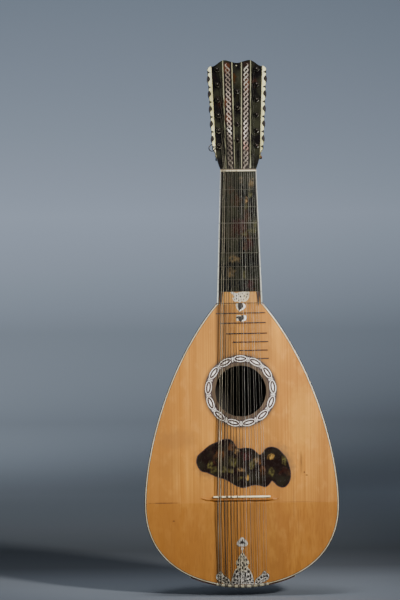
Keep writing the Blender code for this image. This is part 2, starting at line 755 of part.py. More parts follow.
def make_nut(surface):
    rounding = NUT_HEIGHT / 3
    behind = NUT_THICKNESS + GAP - (BOARD_PLATE - HEAD_FACE_DROP) * tan(HEAD_TILT) - GAP / cos(HEAD_TILT)
    sections = []
    for x in (-NUT_HALF_WIDTH, NUT_HALF_WIDTH):
        sections.append([Vector((x, BOARD_PLATE, 0)), Vector((x, rounding - NUT_HEIGHT, 0)),
                         Vector((x, -NUT_HEIGHT, rounding)), Vector((x, -NUT_HEIGHT, NUT_THICKNESS - rounding)),
                         Vector((x, rounding - NUT_HEIGHT, NUT_THICKNESS)),
                         Vector((x, HEAD_FACE_DROP - GAP, NUT_THICKNESS)), Vector((x, BOARD_PLATE, behind))])
    loft("nut", sections, surface)


# Peg head, worked out in its own raked frame: Z up the head, Y to its back

def head_half_width(s):
    if s < HEAD_ROOT_LENGTH:
        return NUT_HALF_WIDTH + (HEAD_LOW_HALF_WIDTH - NUT_HALF_WIDTH) * s / HEAD_ROOT_LENGTH
    share = (s - HEAD_ROOT_LENGTH) / (HEAD_LENGTH - HEAD_ROOT_LENGTH)
    return HEAD_LOW_HALF_WIDTH + (HEAD_TOP_HALF_WIDTH - HEAD_LOW_HALF_WIDTH) * share


def crest(x):
    """Rise of the waved top edge above the corners: two humps with a dip between them."""
    place = min(abs(x) / HEAD_TOP_HALF_WIDTH, 1)
    if place < HUMP_AT:
        return DIP_RISE + (HUMP_RISE - DIP_RISE) * (1 - cos(pi * place / HUMP_AT)) / 2
    return HUMP_RISE * (1 + cos(pi * (place - HUMP_AT) / (1 - HUMP_AT))) / 2


def peg_places():
    """Name, sideways place and height up the head of each peg, near the nut first."""
    found = []
    for i in range(SIDE_PEGS):
        x = SIDE_PEG_LOW_X + (SIDE_PEG_TOP_X - SIDE_PEG_LOW_X) * i / (SIDE_PEGS - 1)
        s = SIDE_PEG_START + SIDE_PEG_PITCH * i
        found.append((f"peg_left_{i + 1}", -x, s))
        found.append((f"peg_right_{i + 1}", x, s))
    for i in range(MIDDLE_PEGS):
        found.append((f"peg_middle_{i + 1}", 0.0, MIDDLE_PEG_START + MIDDLE_PEG_PITCH * i))
    return found


def make_head(surface, frame):
    """Raked plate that grows out of the round neck, with a tapered hole for each peg."""
    sections = []
    last = HEAD_LENGTH
    for s, blend in ((0, 0), (0.35 * HEAD_ROOT_LENGTH, 0.3), (HEAD_ROOT_LENGTH, 0.85),
                     (1.5 * HEAD_ROOT_LENGTH, 1), (last, 1)):
        depth = HEAD_ROOT_DEPTH + (HEAD_THICKNESS - HEAD_ROOT_DEPTH) * blend
        power = 2 + 8 * blend
        rise = crest if s == last else (lambda x: 0.0)
        sections.append(backed_section(head_half_width(s), depth, power,
                                       lambda x, y, s=s, rise=rise: Vector((x, y, s + rise(x))), HEAD_SIDES))
    head = loft("head", sections, surface, radians(35), HEAD_SIDES)
    drills = []
    for name, x, s in peg_places():
        bm = bmesh.new()
        over = 2 * MM
        taper = (PEG_BACK_RADIUS - PEG_TIP_RADIUS) / HEAD_THICKNESS
        low, high = PEG_TIP_RADIUS - over * taper, PEG_BACK_RADIUS + over * taper
        bmesh.ops.create_cone(bm, cap_ends=True, segments=12, radius1=high + PEG_CLEARANCE,
                              radius2=low + PEG_CLEARANCE, depth=HEAD_THICKNESS + 2 * over)
        bmesh.ops.rotate(bm, verts=bm.verts, matrix=Matrix.Rotation(pi / 2, 3, "X"))
        bmesh.ops.translate(bm, verts=bm.verts, vec=(x, HEAD_THICKNESS / 2, s))
        drills.append(finish_mesh(f"drill_{name}", bm, None))
    cutter = join("peg_holes", drills, None)
    boolean(head, cutter, "DIFFERENCE")
    for obj in (head, cutter):
        obj.parent = frame


def scallop(share):
    """How far the edge dips at this place along the strip: sharp notches with full curves between them."""
    place = (share * SCALLOPS + SCALLOP_SHIFT) % 1
    return SCALLOP_DEPTH * abs(2 * place - 1) ** 2


def make_head_edges(surface, frame):
    """Scalloped strip down each side of the head."""
    steps = SCALLOPS * SCALLOP_STEPS
    start, end = HEAD_ROOT_LENGTH, HEAD_LENGTH
    for side, name in ((-1, "head_edge_left"), (1, "head_edge_right")):
        sections = []
        for i in range(steps + 1):
            share = i / steps
            s = start + (end - start) * share
            near = head_half_width(s) + GAP
            grow = min(1, 0.35 + 4 * share)
            far = near + (EDGE_WIDTH - scallop(share)) * grow
            sections.append([Vector((side * near, 0, s)), Vector((side * far, 0, s)),
                             Vector((side * far, EDGE_THICKNESS, s)), Vector((side * near, EDGE_THICKNESS, s))])
        loft(name, sections, surface).parent = frame


# Pegs, each turned about its own axis through the head

def peg_profile():
    """Distance behind the face of the head, half width and half thickness of each section."""
    tip, back = PEG_TIP_RADIUS, PEG_BACK_RADIUS
    behind = HEAD_THICKNESS + GAP
    thumb = behind + PEG_NECK
    wide, thick = THUMB_WIDTH / 2, THUMB_THICKNESS / 2
    return [
        (-PEG_TIP, 0.7 * tip, 0.7 * tip), (-PEG_TIP + 0.3 * tip, tip, tip), (0.0, tip, tip),
        (behind, back, back), (behind, PEG_COLLAR_RADIUS, PEG_COLLAR_RADIUS),
        (behind + 0.25 * PEG_NECK, PEG_COLLAR_RADIUS, PEG_COLLAR_RADIUS),
        (behind + 0.45 * PEG_NECK, 0.85 * back, 0.85 * back), (thumb, back, back),
        (thumb + 0.2 * THUMB_LENGTH, 0.8 * wide, thick), (thumb + 0.5 * THUMB_LENGTH, wide, 0.85 * thick),
        (thumb + 0.8 * THUMB_LENGTH, 0.8 * wide, 0.8 * thick), (thumb + THUMB_LENGTH, 0.3 * wide, 0.6 * thick),
    ]


def make_pegs(surface, frame):
    for index, (name, x, s) in enumerate(peg_places()):
        sections = []
        for y, wide, thick in peg_profile():
            ring = ellipse(0, 0, wide, thick, PEG_SIDES)
            sections.append([Vector((u, y, v)) for u, v in ring])
        peg = loft(name, sections, surface, radians(50))
        peg.location = (x, 0, s)
        peg.rotation_euler = (0, PEG_FIRST_TURN + index * PEG_TURN_STEP, 0)
        peg.parent = frame


# Tail: cap over the ends of the staves with the hitch pins in it, and the guard under the strings

def course_x(course, partner, spread, pair):
    pitch = (spread - pair) / (COURSES - 1)
    return (course - (COURSES - 1) / 2) * pitch + (partner - 0.5) * pair


def pin_x(course):
    return (course_x(course, 0, BRIDGE_SPREAD, BRIDGE_PAIR) + course_x(course, 1, BRIDGE_SPREAD, BRIDGE_PAIR)) / 2


def pin_y():
    return rim_y(TAIL_Z) + RIM_DROP + PIN_SETBACK


def make_tail_cap(surface):
    count = RIB_GROUPS * STAVES_PER_GROUP
    angles = [pi * i / count for i in range(count + 1)]
    places = [0.0] + [t for t in stations(STAVE_START) if t < CAP_REACH + 0.01]
    outer = [bowl_row(t, angles, CAP_OUT) for t in places]
    inner = [bowl_row(t, angles, GAP) for t in places]
    cap = shell("tail_cap", outer, inner, surface)
    pins = []
    for course in range(COURSES):
        x = pin_x(course)
        root = tail_surface(x, PIN_SETBACK) - GAP - CAP_THICKNESS / 2
        end = tail_surface(x, PIN_SETBACK) - CAP_OUT - PIN_LENGTH
        sections = []
        for z, radius in ((root, PIN_RADIUS), (end + 1.6 * PIN_HEAD_LENGTH, PIN_RADIUS),
                          (end + PIN_HEAD_LENGTH, PIN_HEAD_RADIUS), (end, 0.8 * PIN_HEAD_RADIUS)):
            ring = ellipse(x, pin_y(), radius, radius, PIN_SIDES)
            sections.append([Vector((u, v, z)) for u, v in ring])
        pins.append(loft(f"pin_{course}", sections, None))
    boolean(cap, join("hitch_pins", pins, None), "UNION")


def guard_section():
    """Rounded strip over the edge: distance outwards from the outline, height in front of the board."""
    wide, high = BINDING_WIDTH, NUT_HEIGHT
    return [(-1.4 * wide, GAP), (-1.2 * wide, 0.65 * high), (-0.5 * wide, 0.88 * high),
            (0.1 * wide, 0.72 * high), (0.45 * wide, 0.4 * high), (0.5 * wide, GAP)]


def make_tail_guard(surface):
    sections = []
    for i in range(GUARD_STATIONS):
        t = GUARD_REACH * (2 * i / (GUARD_STATIONS - 1) - 1)
        side = 1 if t >= 0 else -1
        ring = []
        for out, high in guard_section():
            x, z = edge_point(abs(t), out)
            ring.append(Vector((side * x if t else 0.0, rim_y(z) - high, z)))
        sections.append(ring)
    loft("tail_guard", sections, surface)


# Inlays of the lower soundboard

def make_scratchplate(surface):
    plate("scratchplate", scratchplate_outline(), -PLATE_RISE, PLATE_THICKNESS, surface)


def make_tail_ornament(surface):
    """Pierced tower with a scroll on each side, laid on the sloping part of the board."""
    base = TAIL_Z + ORNAMENT_MARGIN
    right = [(0.0, 0.0)] + list(ORNAMENT_HALF)
    left = [(-x, z) for x, z in reversed(ORNAMENT_HALF)]
    lift = [(x, z) for x, z in right + [(0.0, ORNAMENT_TOP)] + left]
    follow = body_rise
    outline = [(x * MM, base + z * MM + follow(abs(x) * MM) * max(0.0, 1 - z / ORNAMENT_TOP)) for x, z in lift]
    holes = []
    for x, z, half_x, half_z in ORNAMENT_HOLES:
        for side in ((1,) if x == 0 else (-1, 1)):
            rise = follow(x * MM) * (1 - z / ORNAMENT_TOP)
            holes.append(ellipse(side * x * MM, base + z * MM + rise, half_x * MM, half_z * MM, 4))
    ornament = plate("tail_ornament", outline, -GAP - ORNAMENT_THICKNESS, ORNAMENT_THICKNESS, surface, holes)
    for vert in ornament.data.vertices:
        vert.co.y += rim_y(vert.co.z)


def body_rise(x):
    """Rise of the tail edge above its lowest point, at this distance from the centre line."""
    return tail_surface(x, 0.0) - TAIL_Z


# Strings

def string_radius(course):
    share = course / (COURSES - 1)
    return BASS_DIAMETER * (TREBLE_DIAMETER / BASS_DIAMETER) ** share / 2


def peg_of_string():
    """Peg, side that the string comes up on, and height of its winding, for each string."""
    last = 2 * COURSES - 1
    places = {name: (x, s) for name, x, s in peg_places()}
    found = {}
    for i in range(SIDE_PEGS):
        found[i] = (*places[f"peg_left_{i + 1}"], 1, WIND_LEVEL)
        found[last - i] = (*places[f"peg_right_{i + 1}"], -1, WIND_LEVEL)
    first = SIDE_PEGS
    order = ((first + 1, -1, LOW_WIND_LEVEL), (first + 2, 1, HIGH_WIND_LEVEL),
             (first, -1, WIND_LEVEL), (first + 3, 1, WIND_LEVEL))
    for i, (string, side, level) in enumerate(order):
        found[string] = (*places[f"peg_middle_{i + 1}"], side, level)
    return found


def winding(radius, x, s, side, level):
    """Turns of a string round its peg, from the level where it arrives down towards the head."""
    around = PEG_TIP_RADIUS + WIND_CLEARANCE + radius
    pitch = 2 * radius + WIND_SPACE
    points = []
    for i in range(WIND_TURNS * WIND_POINTS + 1):
        turn = 2 * pi * i / WIND_POINTS
        sink = pitch * i / WIND_POINTS
        points.append(HEAD_FRAME @ Vector((x + side * around * cos(turn), sink - level, s + around * sin(turn))))
    return points


def passes(string, start, wound, routes):
    """Points where a string is held off by the nearer pegs that it goes by."""
    radius = string_radius(string // 2)
    x_end, s_end, side, level = wound
    goal = x_end + side * (PEG_TIP_RADIUS + WIND_CLEARANCE + radius)
    points = []
    for other, (x, s, _other_side, other_level) in sorted(routes.items(), key=lambda item: item[1][1]):
        if other == string or s > s_end - 5 * MM:
            continue
        share = s / s_end
        across = start.x + (goal - start.x) * share
        if abs(across - x) > SIDE_PEG_PITCH / 2:
            continue
        height = -start.y + (level + start.y) * share
        other_radius = string_radius(other // 2)
        bare = PEG_TIP_RADIUS + WIND_CLEARANCE + radius
        over = height - radius > other_level + other_radius + GAP
        need = bare + GAP if over else bare + 2 * other_radius + WIND_CLEARANCE + GAP
        way = 1 if across > x else -1
        if abs(across - x) < need:
            across = x + way * need
            points.append(HEAD_FRAME @ Vector((across, -height, s)))
    return points


def hook(course, partner, radius):
    """Loop of a string round its hitch pin, open on the side of the soundboard."""
    side = -1 if partner == 0 else 1
    around = PIN_RADIUS + WIND_CLEARANCE + radius
    x, y = pin_x(course), pin_y()
    face = tail_surface(x, PIN_SETBACK) - CAP_OUT
    z = face - 3 * GAP - radius - partner * (2 * radius + 1.5 * GAP)
    points = [Vector((x - side * around, y - HOOK_TAIL, z))]
    for i in range(HOOK_POINTS + 1):
        turn = pi * i / HOOK_POINTS
        points.append(Vector((x - side * around * cos(turn), y + around * sin(turn), z)))
    return points


def over_tail(x, radius):
    """Round the tail guard, held off its rounded section."""
    edge = TAIL_Z + body_rise(abs(x))
    hold = 1.5 * GAP + radius
    section = guard_section()
    corners = [(CAP_OUT + hold, -RIM_DROP / 2), (section[5][0] + hold, section[4][1] * 0.6),
               (section[3][0] + 0.8 * hold, section[3][1] + 0.8 * hold), (section[2][0], section[2][1] + hold)]
    return [Vector((x, rim_y(edge - out) - high, edge - out)) for out, high in corners]


def along_cap(x, radius):
    """Over the tail cap between the hitch pin and the edge, held off its curved face."""
    hold = 1.5 * GAP + radius
    front = rim_y(TAIL_Z) + RIM_DROP
    return [Vector((x, front + back, tail_surface(x, back) - CAP_OUT - hold))
            for back in (0.62 * PIN_SETBACK, 0.3 * PIN_SETBACK)]


def string_points(string, routes):
    course, partner = divmod(string, 2)
    radius = string_radius(course)
    x_bridge = course_x(course, partner, BRIDGE_SPREAD, BRIDGE_PAIR)
    x_nut = course_x(course, partner, NUT_SPREAD, NUT_PAIR)
    level = -SADDLE_TOP - GAP - radius
    half = SADDLE_THICKNESS / 2
    points = hook(course, partner, radius) + along_cap(x_bridge, radius) + over_tail(x_bridge, radius)
    points += [Vector((x_bridge, level, BRIDGE_Z - half)), Vector((x_bridge, level, BRIDGE_Z + half))]
    rest = -NUT_HEIGHT - GAP - radius
    points += [Vector((x_nut, rest, 0)), Vector((x_nut, rest, NUT_THICKNESS))]
    start = HEAD_FRAME.inverted() @ points[-1]
    wound = routes[string]
    return points + passes(string, start, wound, routes), winding(radius, *wound)


def least_gap(points, diameter):
    """Smallest space between turns of a winding that aren't next to each other along it."""
    step = 0.25 * MM
    path = []
    for a, b in zip(points, points[1:]):
        count = max(1, ceil((b - a).length / step))
        path += [a.lerp(b, i / count) for i in range(count)]
    places = np.array([tuple(point) for point in path])
    apart = np.linalg.norm(places[:, None] - places[None], axis=2)
    order = np.arange(len(places))
    far = np.abs(order[:, None] - order[None]) * step > pi * PEG_TIP_RADIUS
    return apart[far].min() - diameter


def make_strings(surfaces):
    routes = peg_of_string()
    for string in range(2 * COURSES):
        radius = string_radius(string // 2)
        run, turns = string_points(string, routes)
        curve = bpy.data.curves.new(f"string_{string + 1}", "CURVE")
        curve.dimensions = "3D"
        curve.bevel_depth = radius
        curve.bevel_resolution = 1
        curve.use_fill_caps = True
        spline = curve.splines.new("POLY")
        points = run + turns
        spline.points.add(len(points) - 1)
        for place, point in zip(spline.points, points):
            place.co = (*point, 1)
        curve.materials.append(surfaces["brass"] if string < COURSES else surfaces["steel"])
        obj = bpy.data.objects.new(f"string_{string + 1}", curve)
        bpy.context.scene.collection.objects.link(obj)
        lead = run[-1].lerp(turns[0], 0.7)
        print(f"{obj.name} winding, least gap to itself {least_gap([lead] + turns, 2 * radius) / MM:.2f} mm")


def main():
    for obj in list(bpy.data.objects):
        bpy.data.objects.remove(obj)
    look = make_materials()
    frame = bpy.data.objects.new("head_frame", None)
    bpy.context.scene.collection.objects.link(frame)
    frame.matrix_world = HEAD_FRAME
    make_ribs(look["maple"])
    make_tail_block(look["linden"])
    make_neck_block(look["linden"])
    make_soundboard(look["spruce"])
    make_binding(look["bone"])
    make_rosette(look["pearl"])
    make_braces(look["linden"])
    make_scratchplate(look["tortoiseshell"])
    make_tail_ornament(look["pearl"])
    make_bridge(look["peg_wood"])
    make_saddle(look["bone"])
    make_neck(look["neck_wood"])
    make_fingerboard(look["tortoiseshell"])
    make_nut(look["bone"])
    make_head(look["neck_wood"], frame)
    make_head_edges(look["bone"], frame)
    make_pegs(look["peg_wood"], frame)
    make_tail_cap(look["maple"])
    make_tail_guard(look["bone"])
    make_strings(look)


main()
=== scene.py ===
from math import atan, cos, hypot, pi, radians, sin, sqrt, tan

import bmesh
import bpy
from mathutils import Matrix, Vector


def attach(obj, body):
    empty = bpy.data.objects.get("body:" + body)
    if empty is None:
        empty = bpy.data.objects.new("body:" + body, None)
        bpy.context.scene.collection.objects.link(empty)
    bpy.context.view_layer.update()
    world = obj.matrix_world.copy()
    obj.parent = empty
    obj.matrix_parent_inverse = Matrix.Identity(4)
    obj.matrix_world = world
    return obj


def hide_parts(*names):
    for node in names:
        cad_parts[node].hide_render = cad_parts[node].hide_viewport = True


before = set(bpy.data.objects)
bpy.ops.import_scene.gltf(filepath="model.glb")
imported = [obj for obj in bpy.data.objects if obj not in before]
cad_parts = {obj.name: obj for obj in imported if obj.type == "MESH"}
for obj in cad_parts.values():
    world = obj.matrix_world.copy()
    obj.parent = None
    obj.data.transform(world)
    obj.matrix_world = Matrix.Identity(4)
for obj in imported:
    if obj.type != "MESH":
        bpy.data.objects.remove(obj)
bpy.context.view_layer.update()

# Everything below is in millimetres until MM turns it into metres.
MM = 0.001
GAP = 0.3

# Body: outline, bowl and the crease behind the bridge
BODY_LENGTH = 484.5
BODY_HALF = 165.3
WIDEST_FROM_TAIL = 140
TAIL_FULLNESS = 71
HIP_FULLNESS = 106
SHOULDER_FULLNESS = 92
NECK_FULLNESS = 130
NECK_FLARE = radians(40.5)
BOWL_DEPTH = 162
TAIL_BACK_FULLNESS = 80
NECK_BACK_FLARE = radians(32)
HEEL_DEPTH = 50
STAVES = 27
STAVE_GROUPS = 9
STAVE_START = 0.06
STAVE_THICKNESS = 2.5
BOARD_THICKNESS = 2.8
CANT_ANGLE = radians(7)
BINDING_WIDTH = 2.6
EDGE_LINE = 0.8
GUARD_WIDTH = 2.3
PIN_SETBACK = 56
CLASP_REACH = 0.4

# Strings, neck and nut
STRING_LENGTH = 552
NUT_HALF = 30.5
JOINT_HALF = 38.4
NUT_THICKNESS = 3.5
NUT_HEIGHT = 2.4
PLATE = 2.5
NECK_TOP_DEPTH = 20
NECK_BASE_DEPTH = 25
HEEL_LENGTH = 62

# Rosette
HOLE_RADIUS = 43.5
ROSETTE_RADIUS = 61.5
MEDALLIONS = 13

# Head
HEAD_TILT = radians(17)
HEAD_FACE_DROP = 0.5
HEAD_LENGTH = 186
HEAD_THICKNESS = 15
HEAD_ROOT = 24
HEAD_LOW_HALF = 37.2
HEAD_TOP_HALF = 43.4
HUMP_RISE = 11.4
DIP_RISE = 6.4
EDGE_WIDTH = 7.6
EDGE_THICKNESS = 8
NOTCHES = 6
NOTCH_START = 40
NOTCH_PITCH = 27.1
LEAF_AFTER = 15.4


def fret_z(number):
    return -STRING_LENGTH * (1 - 2 ** (-number / 12))


JOINT_Z = fret_z(9) + 1.1
BOARD_TOP = fret_z(9) - 2.2
TAIL_Z = JOINT_Z - BODY_LENGTH
WIDEST_Z = TAIL_Z + WIDEST_FROM_TAIL
BRIDGE_Z = -STRING_LENGTH
CANT_Z = BRIDGE_Z - 11
HOLE_Z = JOINT_Z - 150.5
RIM_DROP = BOARD_THICKNESS + GAP
NECK_FACE = PLATE + GAP
CAP_OUT = 1.5 + GAP
HEAD_ROOT_DEPTH = (NECK_FACE + NECK_TOP_DEPTH - HEAD_FACE_DROP) / cos(HEAD_TILT)
HEAD_PLACE = Matrix.Translation((0, HEAD_FACE_DROP, NUT_THICKNESS + GAP)) @ Matrix.Rotation(-HEAD_TILT, 4, "X")


# Shape of the body

def cubic(a, b, c, d, t):
    s = 1 - t
    return s ** 3 * a + 3 * s ** 2 * t * b + 3 * s * t ** 2 * c + t ** 3 * d


def body_curve(t):
    """Half width, bowl depth and height: 0 at the tail, 1 at the widest place, 2 at the neck."""
    half = BODY_HALF
    if t <= 1:
        width = cubic(0, TAIL_FULLNESS, half, half, t)
        depth = cubic(0, TAIL_BACK_FULLNESS, BOWL_DEPTH, BOWL_DEPTH, t)
        return width, depth, cubic(TAIL_Z, TAIL_Z, WIDEST_Z - HIP_FULLNESS, WIDEST_Z, t)
    u = t - 1
    width = cubic(half, half, JOINT_HALF + NECK_FULLNESS * sin(NECK_FLARE), JOINT_HALF, u)
    depth = cubic(BOWL_DEPTH, BOWL_DEPTH, HEEL_DEPTH + NECK_FULLNESS * sin(NECK_BACK_FLARE), HEEL_DEPTH, u)
    high = WIDEST_Z + SHOULDER_FULLNESS
    return width, depth, cubic(WIDEST_Z, high, JOINT_Z - NECK_FULLNESS * cos(NECK_FLARE), JOINT_Z, u)


def found(goal, value, low, high):
    """Place where a rising function reaches a value."""
    for _ in range(40):
        middle = (low + high) / 2
        if goal(middle) < value:
            low = middle
        else:
            high = middle
    return (low + high) / 2


def station_at(z):
    return found(lambda t: body_curve(t)[2], z, 0, 2)


def tail_rise(x):
    """Rise of the tail edge above its lowest point, at this distance from the centre line."""
    return body_curve(found(lambda t: body_curve(t)[0], abs(x), 0, 1))[2] - TAIL_Z


def rim_y(z):
    """Front of the soundboard: flat above the crease, sloping back below it."""
    return max(CANT_Z - z, 0) * tan(CANT_ANGLE)


def bowl_point(t, phi, out=0.0):
    """Point on the outer face of the bowl, or that far outside it."""
    def place(s, angle):
        width, depth, z = body_curve(s)
        return Vector((width * cos(angle), rim_y(z) + RIM_DROP + depth * sin(angle), z))
    if not out:
        return place(t, phi)
    s, step = min(max(t, 0.01), 1.999), 1e-4
    along = place(s + step, phi) - place(s - step, phi)
    across = place(s, phi + step) - place(s, phi - step)
    return place(t, phi) + across.cross(along).normalized() * out


def edge_point(t, out):
    """Point of the right-hand outline, moved outwards in the plane of the soundboard."""
    s, step = min(max(t, 0.001), 1.999), 1e-3
    (wa, _da, za), (wb, _db, zb) = body_curve(s - step), body_curve(s + step)
    length = hypot(wb - wa, zb - za)
    width, _depth, z = body_curve(t)
    return width + out * (zb - za) / length, z - out * (wb - wa) / length


def edge_path(out, top=BOARD_TOP - GAP, steps=110):
    """Right-hand outline from the tail up to a level cut across the board."""
    end = station_at(top)
    places = sorted([end * i / steps for i in range(steps)] + [station_at(CANT_Z)])
    points = [edge_point(t, out) for t in places]
    points = [(x, z) for x, z in points if z < top - 1]
    points[0] = (0.0, points[0][1])
    x, z = edge_point(end, out)
    last_x, last_z = points[-1]
    return points + [(last_x + (x - last_x) * (top - last_z) / (z - last_z), top)]


def mirrored(right):
    return right + [(-x, z) for x, z in reversed(right[1:])]


def board_half(z):
    return NUT_HALF + (JOINT_HALF - NUT_HALF) * z / JOINT_Z


def head_half(s):
    if s < HEAD_ROOT:
        return NUT_HALF + (HEAD_LOW_HALF - NUT_HALF) * s / HEAD_ROOT
    return HEAD_LOW_HALF + (HEAD_TOP_HALF - HEAD_LOW_HALF) * (s - HEAD_ROOT) / (HEAD_LENGTH - HEAD_ROOT)


def crest(x):
    """Rise of the waved top edge above the corners: two humps with a dip between them."""
    place = min(abs(x) / HEAD_TOP_HALF, 1)
    if place < 0.5:
        return DIP_RISE + (HUMP_RISE - DIP_RISE) * (1 - cos(2 * pi * place)) / 2
    return HUMP_RISE * (1 + cos(2 * pi * (place - 0.5))) / 2


def peg_places():
    """Name, sideways place and height up the head of each peg, near the nut first."""
    places = []
    for i in range(6):
        for side, name in ((-1, "left"), (1, "right")):
            places.append((f"peg_{name}_{i + 1}", side * (32 + 2 * i / 5), 40 + 27.8 * i))
    return places + [(f"peg_middle_{i + 1}", 0.0, 50 + 29.5 * i) for i in range(4)]


# Places for flat pieces: each turns (across, depth, up) into a point

def on_board(x, y, z):
    return Vector((x, y + rim_y(z), z)) * MM


def on_head(x, y, z):
    return HEAD_PLACE_M @ (Vector((x, y, z)) * MM)


HEAD_PLACE_M = Matrix.Translation(HEAD_PLACE.translation * MM) @ HEAD_PLACE.to_3x3().to_4x4()


# Outlines

def ellipse(x, z, half_x, half_z, count=48, turn=0.0):
    points = []
    for i in range(count):
        u, v = half_x * cos(2 * pi * i / count), half_z * sin(2 * pi * i / count)
        points.append((x + u * cos(turn) - v * sin(turn), z + u * sin(turn) + v * cos(turn)))
    return points


def smooth_loop(points, steps=8, closed=True):
    """Curve through listed points, with the sharp ones given twice."""
    count = len(points)
    result = []
    for i in range(count if closed else count - 1):
        index = [(i + k) % count if closed else min(max(i + k, 0), count - 1) for k in (-1, 0, 1, 2)]
        a, b, c, d = (Vector(points[k]) for k in index)
        if (b - c).length < 1e-6:
            continue
        for step in range(steps):
            t = step / steps
            result.append(tuple(0.5 * ((2 * b) + (c - a) * t + (2 * a - 5 * b + 4 * c - d) * t ** 2
                                       + (3 * b - a - 3 * c + d) * t ** 3)))
    if not closed:
        result.append(tuple(points[-1]))
    return result


def ribbon(path, widths):
    """Outline of a strip along a path, with a half width at each of its points."""
    left, right = [], []
    for i, point in enumerate(path):
        ahead = Vector(path[min(i + 1, len(path) - 1)]) - Vector(path[max(i - 1, 0)])
        side = Vector((-ahead.y, ahead.x)).normalized() * widths[i]
        left.append(tuple(Vector(point) + side))
        right.append(tuple(Vector(point) - side))
    return left + right[::-1]


def wider(loop, out):
    """The outline moved outwards; the two ways round give the same result."""
    area = sum(a[0] * b[1] - a[1] * b[0] for a, b in zip(loop, loop[1:] + loop[:1]))
    result = []
    for i, point in enumerate(loop):
        ahead = Vector(loop[(i + 1) % len(loop)]) - Vector(loop[i - 1])
        side = Vector((ahead.y, -ahead.x)).normalized() * (out if area > 0 else -out)
        result.append((point[0] + side.x, point[1] + side.y))
    return result


def moved(outline, x=0.0, z=0.0, turn=0.0, flip=1):
    return [(x + flip * (u * cos(turn) - v * sin(turn)), z + u * sin(turn) + v * cos(turn)) for u, v in outline]


# Mesh making

def shape(name, bm, surface, smooth=None):
    bmesh.ops.remove_doubles(bm, verts=bm.verts, dist=1e-6)
    bmesh.ops.recalc_face_normals(bm, faces=bm.faces)
    mesh = bpy.data.meshes.new(name)
    bm.to_mesh(mesh)
    bm.free()
    for look in surface if isinstance(surface, (list, tuple)) else (surface,):
        mesh.materials.append(look)
    if smooth is not None:
        mesh.shade_smooth()
        mesh.set_sharp_from_angle(angle=radians(smooth))
    obj = bpy.data.objects.new(name, mesh)
    bpy.context.scene.collection.objects.link(obj)
    return obj


def skin(bm, rings, caps=True):
    made = [[bm.verts.new(point) for point in ring] for ring in rings]
    for low, high in zip(made, made[1:]):
        for i in range(len(low)):
            j = (i + 1) % len(low)
            bm.faces.new((low[i], low[j], high[j], high[i]))
    if caps:
        bm.faces.new(made[0])
        bm.faces.new(made[-1])


def loft(name, rings, surface, smooth=35):
    bm = bmesh.new()
    skin(bm, rings)
    return shape(name, bm, surface, smooth)


def add_plate(bm, outline, front, thickness, place=on_board, holes=()):
    """Flat solid with holes, its front at the given depth, put in place point by point."""
    part = bmesh.new()
    for loop in (outline, *holes):
        verts = [part.verts.new((x, front, z)) for x, z in loop]
        for i, vert in enumerate(verts):
            part.edges.new((vert, verts[(i + 1) % len(verts)]))
    bmesh.ops.triangle_fill(part, use_beauty=True, edges=part.edges, normal=(0, -1, 0))
    faces = bmesh.ops.extrude_face_region(part, geom=part.faces)
    raised = [item for item in faces["geom"] if isinstance(item, bmesh.types.BMVert)]
    bmesh.ops.translate(part, verts=raised, vec=(0, thickness, 0))
    bmesh.ops.recalc_face_normals(part, faces=part.faces)
    for vert in part.verts:
        vert.co = place(*vert.co)
    scratch = bpy.data.meshes.new("scratch")
    part.to_mesh(scratch)
    part.free()
    bm.from_mesh(scratch)
    bpy.data.meshes.remove(scratch)


def plates(name, outlines, front, thickness, surface, place=on_board):
    """One piece from several flat forms; a form with holes is a tuple of outline and holes."""
    bm = bmesh.new()
    for form in outlines:
        outline, holes = form if isinstance(form, tuple) else (form, ())
        add_plate(bm, outline, front, thickness, place, holes)
    return shape(name, bm, surface)


def baked(obj):
    """The object with its modifiers turned into plain mesh."""
    graph = bpy.context.evaluated_depsgraph_get()
    mesh = bpy.data.meshes.new_from_object(obj.evaluated_get(graph))
    obj.modifiers.clear()
    obj.data = mesh
    return obj


def cut(obj, *helpers):
    for helper in helpers:
        modifier = obj.modifiers.new("cut", "BOOLEAN")
        modifier.object = helper
        modifier.solver = "EXACT"
    baked(obj)
    for helper in helpers:
        bpy.data.objects.remove(helper)
    return obj


def rounded(obj, width, segments=2, angle=40):
    modifier = obj.modifiers.new("rounded", "BEVEL")
    modifier.width = width * MM
    modifier.segments = segments
    modifier.limit_method = "ANGLE"
    modifier.angle_limit = radians(angle)
    return baked(obj)


def settle(obj, slot, *nodes, body="instrument"):
    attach(obj, body)
    if nodes:
        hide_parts(*nodes)
    return obj


# Finishes

def node(tree, kind, sockets=None, **settings):
    made = tree.nodes.new(kind)
    for key, value in settings.items():
        setattr(made, key, value)
    for key, value in (sockets or {}).items():
        if isinstance(value, bpy.types.NodeSocket):
            tree.links.new(value, made.inputs[key])
        else:
            made.inputs[key].default_value = value
    return made


